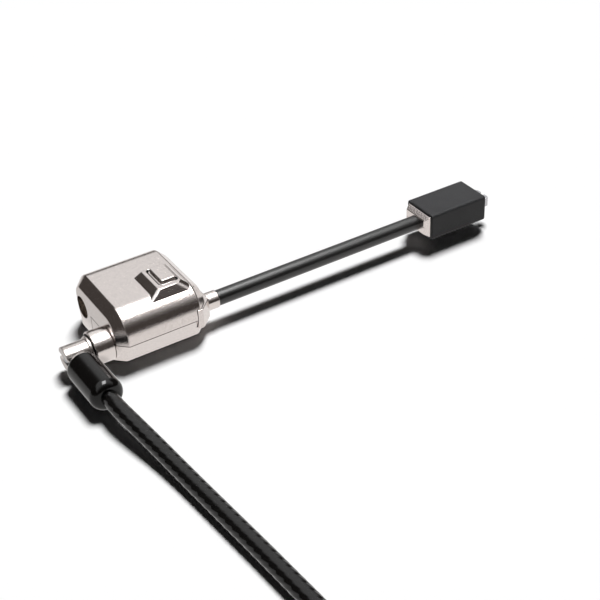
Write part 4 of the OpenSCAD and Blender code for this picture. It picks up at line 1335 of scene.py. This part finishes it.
    def build(self) -> None:
        pieces = (
            (self._boot(), "boot_moulded", Finishes.BOOT, "boot_rubber", "cable_boot", self.boot_sharp),
            (self._terminal(), "terminal_crimped", Finishes.STEEL, "steel", "cable_terminal", SHARP),
            (self._ferrule(), "eye_ferrule", Finishes.NICKEL, "nickel", "loop_ferrule", SHARP),
            (self._tie(), "coil_strap", Finishes.STRAP, "tie_strap", "coil_tie", SHARP),
        )
        fittings = [
            self.seat(moved(solid, self.place), name, finish, Body.CABLE, slot, node, sharp=sharp)
            for solid, name, finish, slot, node, sharp in pieces
        ]
        line = self.fine_route()
        rings = [self.strand_ring(line, i, i * self.step) for i in range(len(line))]
        cable = self.seat(
            hose(rings), "coated_cable", Finishes.CABLE, Body.CABLE, "cable_jacket", "security_cable",
            "cable_coil", "end_loop", sharp=60, weigh=False,
        )

    def _boot(self) -> Solid:
        """Moulded boot with rounded ends.

        Returns:
            The solid, in the cable's own frame.
        """
        d0, d1 = self.boot
        r, e = self.boot_r, self.boot_round
        ends = arc((d0 + e, r - e), e, 180, 90, steps=14) + arc((d1 - e, r - e), e, 90, 0, steps=14)
        profile = [(-d, r) for d, r in [(d0, 0.0), *ends, (d1, 0.0)]]
        return lathe(profile, Axis.Y, 0, self.pin[2], hollow=False, steps=96)

    def _terminal(self) -> Solid:
        """Tongue round the fork pin, with the sleeve crimped on the cable.

        Returns:
            The solid, in the cable's own frame.
        """
        z = self.pin[2]
        half = math.degrees(math.asin(self.tongue_neck / self.tongue_r))
        plan = [*self.tongue_root, *arc((0, 0), self.tongue_r, -half, 180 + half, steps=32)]
        return combine(prism(plan, Axis.Z, z - self.tongue_half, z + self.tongue_half), [
            (Cut.AWAY, rod(Axis.Z, *self.pin_hole, 0, 0, sides=40)),
            (Cut.WITH, rod(Axis.Y, *self.sleeve, 0, z, sides=48)),
        ])

    def _ferrule(self) -> Solid:
        """Sleeve that holds the cable and its end side by side.

        Returns:
            The solid, in the cable's own frame.
        """
        at = self.tail
        plan = arc((at.y, at.z), self.ferrule_r, 90, 270, steps=16)
        plan += arc((at.y + 2 * self.eye_side, at.z), self.ferrule_r, -90, 90, steps=16)
        return soften(prism(plan, Axis.X, at.x, at.x + self.ferrule_l), self.ferrule_soft, angle=60)

    def _tie(self) -> Solid:
        """Strap round all the loops of the coil.

        Returns:
            The solid, in the cable's own frame.
        """
        stack = (self.layers - 1) * self.layer_step
        w = (self.coil_r[0] - self.coil_r[1] + self.diameter) / 2 + self.tie_gap
        h = (stack + self.diameter) / 2 + self.tie_gap
        x = self.coil_x + self.coil_r[0] + sum(self.coil_r) / 2
        z = self.coil_z + stack / 2
        y0, y1, t = self.coil_y - self.tie_half, self.coil_y + self.tie_half, self.tie_thick
        plan = rounded(x - w - t, x + w + t, z - h - t, z + h + t, self.tie_round[0])
        inner = prism(rounded(x - w, x + w, z - h, z + h, self.tie_round[1]), Axis.Y, y0 - PAST, y1 + PAST)
        outer = soften(prism(plan, Axis.Y, y0, y1), self.tie_soft, segments=2, angle=60)
        return combine(outer, [(Cut.AWAY, inner)])


@dataclass(frozen=True)
class Spring:
    """Sizes of a coil spring inside the lock body."""

    name: str
    node: str
    joint: str
    axis: Axis
    foot_low: bool
    coils: int
    travel: float
    wire: float = 0.3
    sides: int = 10
    turn_steps: int = 24

    def rings(self, low: Vector, high: Vector) -> list[list[Vector]]:
        """Sections of the wire, wound in the room between two corners.

        Args:
            low: lower corner of the room.
            high: upper corner of the room.

        Returns:
            The sections from one end to the other.
        """
        along = self.axis.value
        middle = (low + high) / 2
        middle[along] = 0.0
        way = self.axis.lift(0, 0, 1)
        radius = (high[along - 1] - low[along - 1] - self.wire) / 2
        start, end = low[along] + self.wire / 2, high[along] - self.wire / 2
        steps = self.coils * self.turn_steps
        made = []
        for i in range(steps + 1):
            turn = math.tau * i / self.turn_steps
            out = self.axis.lift(math.cos(turn), math.sin(turn), 0)
            centre = middle + out * radius + way * (start + (end - start) * i / steps)
            made.append([
                centre + (out * math.cos(a) + way * math.sin(a)) * (self.wire / 2)
                for a in (math.tau * k / self.sides for k in range(self.sides))
            ])
        return made


@dataclass
class Springs(Assembly):
    """Springs of the button, the wire's carriage and the latch."""

    wound: tuple[Spring, ...] = (
        Spring("button_coil", "button_spring", "button_press", Axis.Z, foot_low=True, coils=6, travel=1.5),
        Spring("return_coil", "return_spring", "button_press", Axis.X, foot_low=False, coils=4, travel=1.5),
        Spring("latch_coil", "latch_spring", "latch_draw", Axis.Y, foot_low=False, coils=3, travel=1.4),
    )

    def build(self) -> None:
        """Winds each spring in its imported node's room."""
        for spring in self.wound:
            low, high = (TO_FRAME.inverted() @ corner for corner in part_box(spring.node))
            wire = hose(spring.rings(low, high))
            piece = self.seat(wire, spring.name, Finishes.STEEL, Body.LOCK, "steel", spring.node, sharp=60)
            along = spring.axis.value
            foot = (low + high) / 2
            foot[along] = (low if spring.foot_low else high)[along]
            way = tuple(spring.axis.lift(0, 0, 1))
            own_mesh(piece)


@dataclass
class Inside(Assembly):
    """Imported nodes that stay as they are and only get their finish."""

    dressed: dict[Finishes, tuple[str, ...]] = field(default_factory=lambda: {
        Finishes.STEEL: (
            "shell_screws", "hook_pins", "inner_wire", "spreader", "core_wafers", "core_clip", "core_cam",
            "latch_bolt", "fork_clip",
        ),
        Finishes.BRASS: ("lock_cylinder", "key_core", "wedge_carriage", "wire_stop"),
    })

    def build(self) -> None:
        """Dresses each node."""
        for finish, nodes in self.dressed.items():
            for node in nodes:
                self.dress(node, finish)


@dataclass
class Studio:
    """Pale floor, soft light from above and behind, and the camera.

    Limits of the reflected room are parts of a unit direction, seen from the lock.
    """

    camera_at: Point3 = (-0.150075, -0.26725, 0.205)
    heading: float = 30.57
    down: float = 34.93
    roll: float = -2.84
    lens: float = 75.58
    sensor: float = 36.0
    clip: Point2 = (0.01, 20.0)
    key_turn: float = 50.0
    key_rise: float = 61.0
    key_spread: float = 18.0
    key_level: float = 3.8
    lamp_turn: float = 98.0
    lamp_rise: float = 82.0
    lamp_glow: float = 14.0
    lamp_width: Point2 = (0.38, 0.3)
    lamp_depth: Point2 = (0.22, 0.14)
    white: Colour = (1.0, 1.0, 1.0, 1.0)
    fill: Colour = (0.01, 0.01, 0.0102, 1.0)
    wall: Colour = (0.068, 0.06, 0.056, 1.0)
    side: Colour = (0.97, 0.97, 0.97, 1.0)
    side_limits: tuple[tuple[str, float, float], ...] = (
        ("X", -0.12, 0.18), ("Y", 0.2, 0.5), ("X", 0.85, 0.6), ("Z", 0.18, 0.48),
    )
    ceiling: Colour = (1.24, 1.24, 1.24, 1.0)
    ceiling_lean: float = -0.6
    ceiling_rise: Point2 = (0.64, 0.8)
    ceiling_front: Point2 = (-0.84, -0.2)
    floor_size: float = 4.0
    floor_drop: float = 0.00005
    floor: Colour = (0.94, 0.94, 0.94, 1.0)
    floor_rough: float = 0.9
    glow: Colour = (1.0, 0.985, 0.97, 1.0)
    glow_level: float = 0.95
    # Painted shadow: the glow that reflections show is dimmed by this much left of this edge along X.
    painted_shadow_drop: float = -0.25
    painted_shadow_edge: Point2 = (-0.0572, -0.059)

    def build(self) -> None:
        """Sets up the camera, the light and the floor."""
        scene = bpy.context.scene
        scene.view_settings.view_transform = "Standard"
        self._camera(scene)
        self._key(scene)
        self._world(scene)
        self._floor(scene)

    def _camera(self, scene: bpy.types.Scene) -> None:
        """Camera at the photograph's place and angle.

        Args:
            scene: the scene that it is added to.
        """
        h, d, r = (math.radians(a) for a in (self.heading, self.down, self.roll))
        right = Vector((math.cos(h), -math.sin(h), 0))
        ahead = Vector((math.sin(h) * math.cos(d), math.cos(h) * math.cos(d), -math.sin(d)))
        up = right.cross(ahead)
        tilted = right * math.cos(r) + up * math.sin(r)
        upper = up * math.cos(r) - right * math.sin(r)
        data = bpy.data.cameras.new("camera")
        data.lens, data.sensor_width = self.lens, self.sensor
        data.clip_start, data.clip_end = self.clip
        camera = bpy.data.objects.new("camera", data)
        turn = Matrix((tilted, upper, -ahead)).transposed().to_4x4()
        camera.matrix_world = Matrix.Translation(self.camera_at) @ turn
        scene.collection.objects.link(camera)
        scene.camera = camera

    @staticmethod
    def _toward(turn: float, rise: float) -> Vector:
        """Direction of a light, seen from the lock; it turns from the back to the right."""
        a, e = math.radians(turn), math.radians(rise)
        return Vector((math.sin(a) * math.cos(e), math.cos(a) * math.cos(e), math.sin(e)))

    def _key(self, scene: bpy.types.Scene) -> None:
        """Soft light from above and behind, even over the whole floor.

        Args:
            scene: the scene that it is added to.
        """
        data = bpy.data.lights.new("key", "SUN")
        data.angle, data.energy = math.radians(self.key_spread), self.key_level
        key = bpy.data.objects.new("key", data)
        key.rotation_mode = "QUATERNION"
        key.rotation_quaternion = self._toward(self.key_turn, self.key_rise).to_track_quat("Z", "Y")
        key.visible_glossy = False
        scene.collection.objects.link(key)

    @staticmethod
    def _seen(graph: Graph) -> Socket:
        """Whether a ray is a reflection that the camera sees, or passes through something clear.

        Args:
            graph: graph of the material or world.

        Returns:
            1 for such a ray, and 0 for others.
        """
        path = graph.node("LightPath", {}).outputs
        clear = graph.math("MAXIMUM", path["Is Glossy Ray"], path["Is Transmission Ray"])
        return graph.math("MULTIPLY", clear, graph.math("LESS_THAN", path["Diffuse Depth"], 0.5))

    def _lamp(self, graph: Graph, way: Sequence[Socket]) -> Socket:
        """Mask of the lamp overhead that reflections show.

        Args:
            graph: the world's graph.
            way: parts of a ray's direction.

        Returns:
            1 inside the lamp, and 0 outside.
        """
        toward = self._toward(self.lamp_turn, self.lamp_rise)
        side = toward.cross(Vector((0, 0, 1))).normalized()
        masks = []
        for axis, limits in ((side, self.lamp_width), (side.cross(toward), self.lamp_depth)):
            parts = [graph.math("MULTIPLY", socket, value) for socket, value in zip(way, axis)]
            across = graph.math("ADD", graph.math("ADD", parts[0], parts[1]), parts[2])
            masks.append(graph.ramp(graph.math("ABSOLUTE", across), *limits))
        return graph.math("MULTIPLY", *masks)

    def _room(self, graph: Graph, way: dict[str, Socket]) -> Socket:
        """Colour of the studio that metal reflects: a bright ceiling and side over dark walls.

        Args:
            graph: the world's graph.
            way: parts of a ray's direction, by axis.

        Returns:
            The colour.
        """
        edges = [graph.ramp(way[key], low, high) for key, low, high in self.side_limits]
        right = edges[0]
        for edge in edges[1:]:
            right = graph.math("MULTIPLY", right, edge)
        lean = graph.math("MAXIMUM", graph.math("MULTIPLY", way["Y"], self.ceiling_lean), 0.0)
        rise = graph.ramp(graph.math("ADD", way["Z"], lean), *self.ceiling_rise)
        above = graph.math("MINIMUM", rise, graph.ramp(way["Y"], *self.ceiling_front))
        return graph.blend(above, graph.blend(right, self.wall, self.side), self.ceiling)

    def _world(self, scene: bpy.types.Scene) -> None:
        """Dim fill, the studio that reflections show, and the white that the camera sees.

        Args:
            scene: the scene that it is added to.
        """
        world = bpy.data.worlds.new("studio")
        scene.world = world
        world.use_nodes = True
        graph = Graph(world.node_tree)
        base = graph.tree.nodes["Background"]
        graph.fill(base, {"Color": self.fill})
        split = graph.node("SeparateXYZ", {0: graph.node("TexCoord", {}).outputs["Generated"]})
        way = {key: split.outputs[key] for key in "XYZ"}
        room = graph.node("Background", {"Color": self._room(graph, way)})
        level = graph.math("MULTIPLY", self._lamp(graph, list(way.values())), self.lamp_glow)
        lamp = graph.node("Background", {"Color": self.white, "Strength": level})
        both = graph.node("AddShader", {0: room.outputs[0], 1: lamp.outputs[0]})
        mirrored = graph.node("MixShader", {0: self._seen(graph), 1: base.outputs[0], 2: both.outputs[0]})
        white = graph.node("Background", {"Color": self.white})
        camera = graph.node("LightPath", {}).outputs["Is Camera Ray"]
        final = graph.node("MixShader", {0: camera, 1: mirrored.outputs[0], 2: white.outputs[0]})
        graph.fill(graph.tree.nodes["World Output"], {"Surface": final.outputs[0]})

    def _floor(self, scene: bpy.types.Scene) -> None:
        """White floor that takes the shadow; metal reflects it as an even glow with a painted shadow left of
        the lock body.

        Args:
            scene: the scene that it is added to.
        """
        bm = bmesh.new()
        bmesh.ops.create_grid(bm, x_segments=2, y_segments=2, size=self.floor_size / 2)
        bmesh.ops.translate(bm, verts=bm.verts[:], vec=(0, 0, -self.floor_drop))
        mesh = bpy.data.meshes.new("floor")
        bm.to_mesh(mesh)
        bm.free()
        made = bpy.data.materials.new("white_floor")
        made.use_nodes = True
        graph = Graph(made.node_tree)
        shader = graph.tree.nodes["Principled BSDF"]
        matt = {"Base Color": self.floor, "Roughness": self.floor_rough, "Specular IOR Level": 0.0}
        graph.fill(shader, matt)
        split = graph.node("SeparateXYZ", {0: graph.node("TexCoord", {}).outputs["Object"]})
        # Painted shadow: the reflected glow is dimmed left of the lock body, where the lit floor has the
        # body's shadow.
        shadow = graph.ramp(split.outputs["X"], *self.painted_shadow_edge)
        level = graph.math("MULTIPLY_ADD", shadow, self.painted_shadow_drop, self.glow_level)
        glow = graph.node("Emission", {"Color": self.glow, "Strength": level})
        mix = graph.node("MixShader", {0: self._seen(graph), 1: shader.outputs[0], 2: glow.outputs[0]})
        graph.fill(graph.tree.nodes["Material Output"], {"Surface": mix.outputs[0]})
        mesh.materials.append(made)
        floor = bpy.data.objects.new("floor", mesh)
        scene.collection.objects.link(floor)


def main() -> None:
    """Builds the studio and every sub-assembly."""
    Studio().build()
    effects = Effects()
    for kind in (FreeCable, LockBody, PushButton, Swivel, Tube, Head, Springs, Inside):
        LOG.info("building %s", kind.__name__)
        kind(effects).build()
    bpy.context.view_layer.update()


if __name__ == "__main__":
    main()
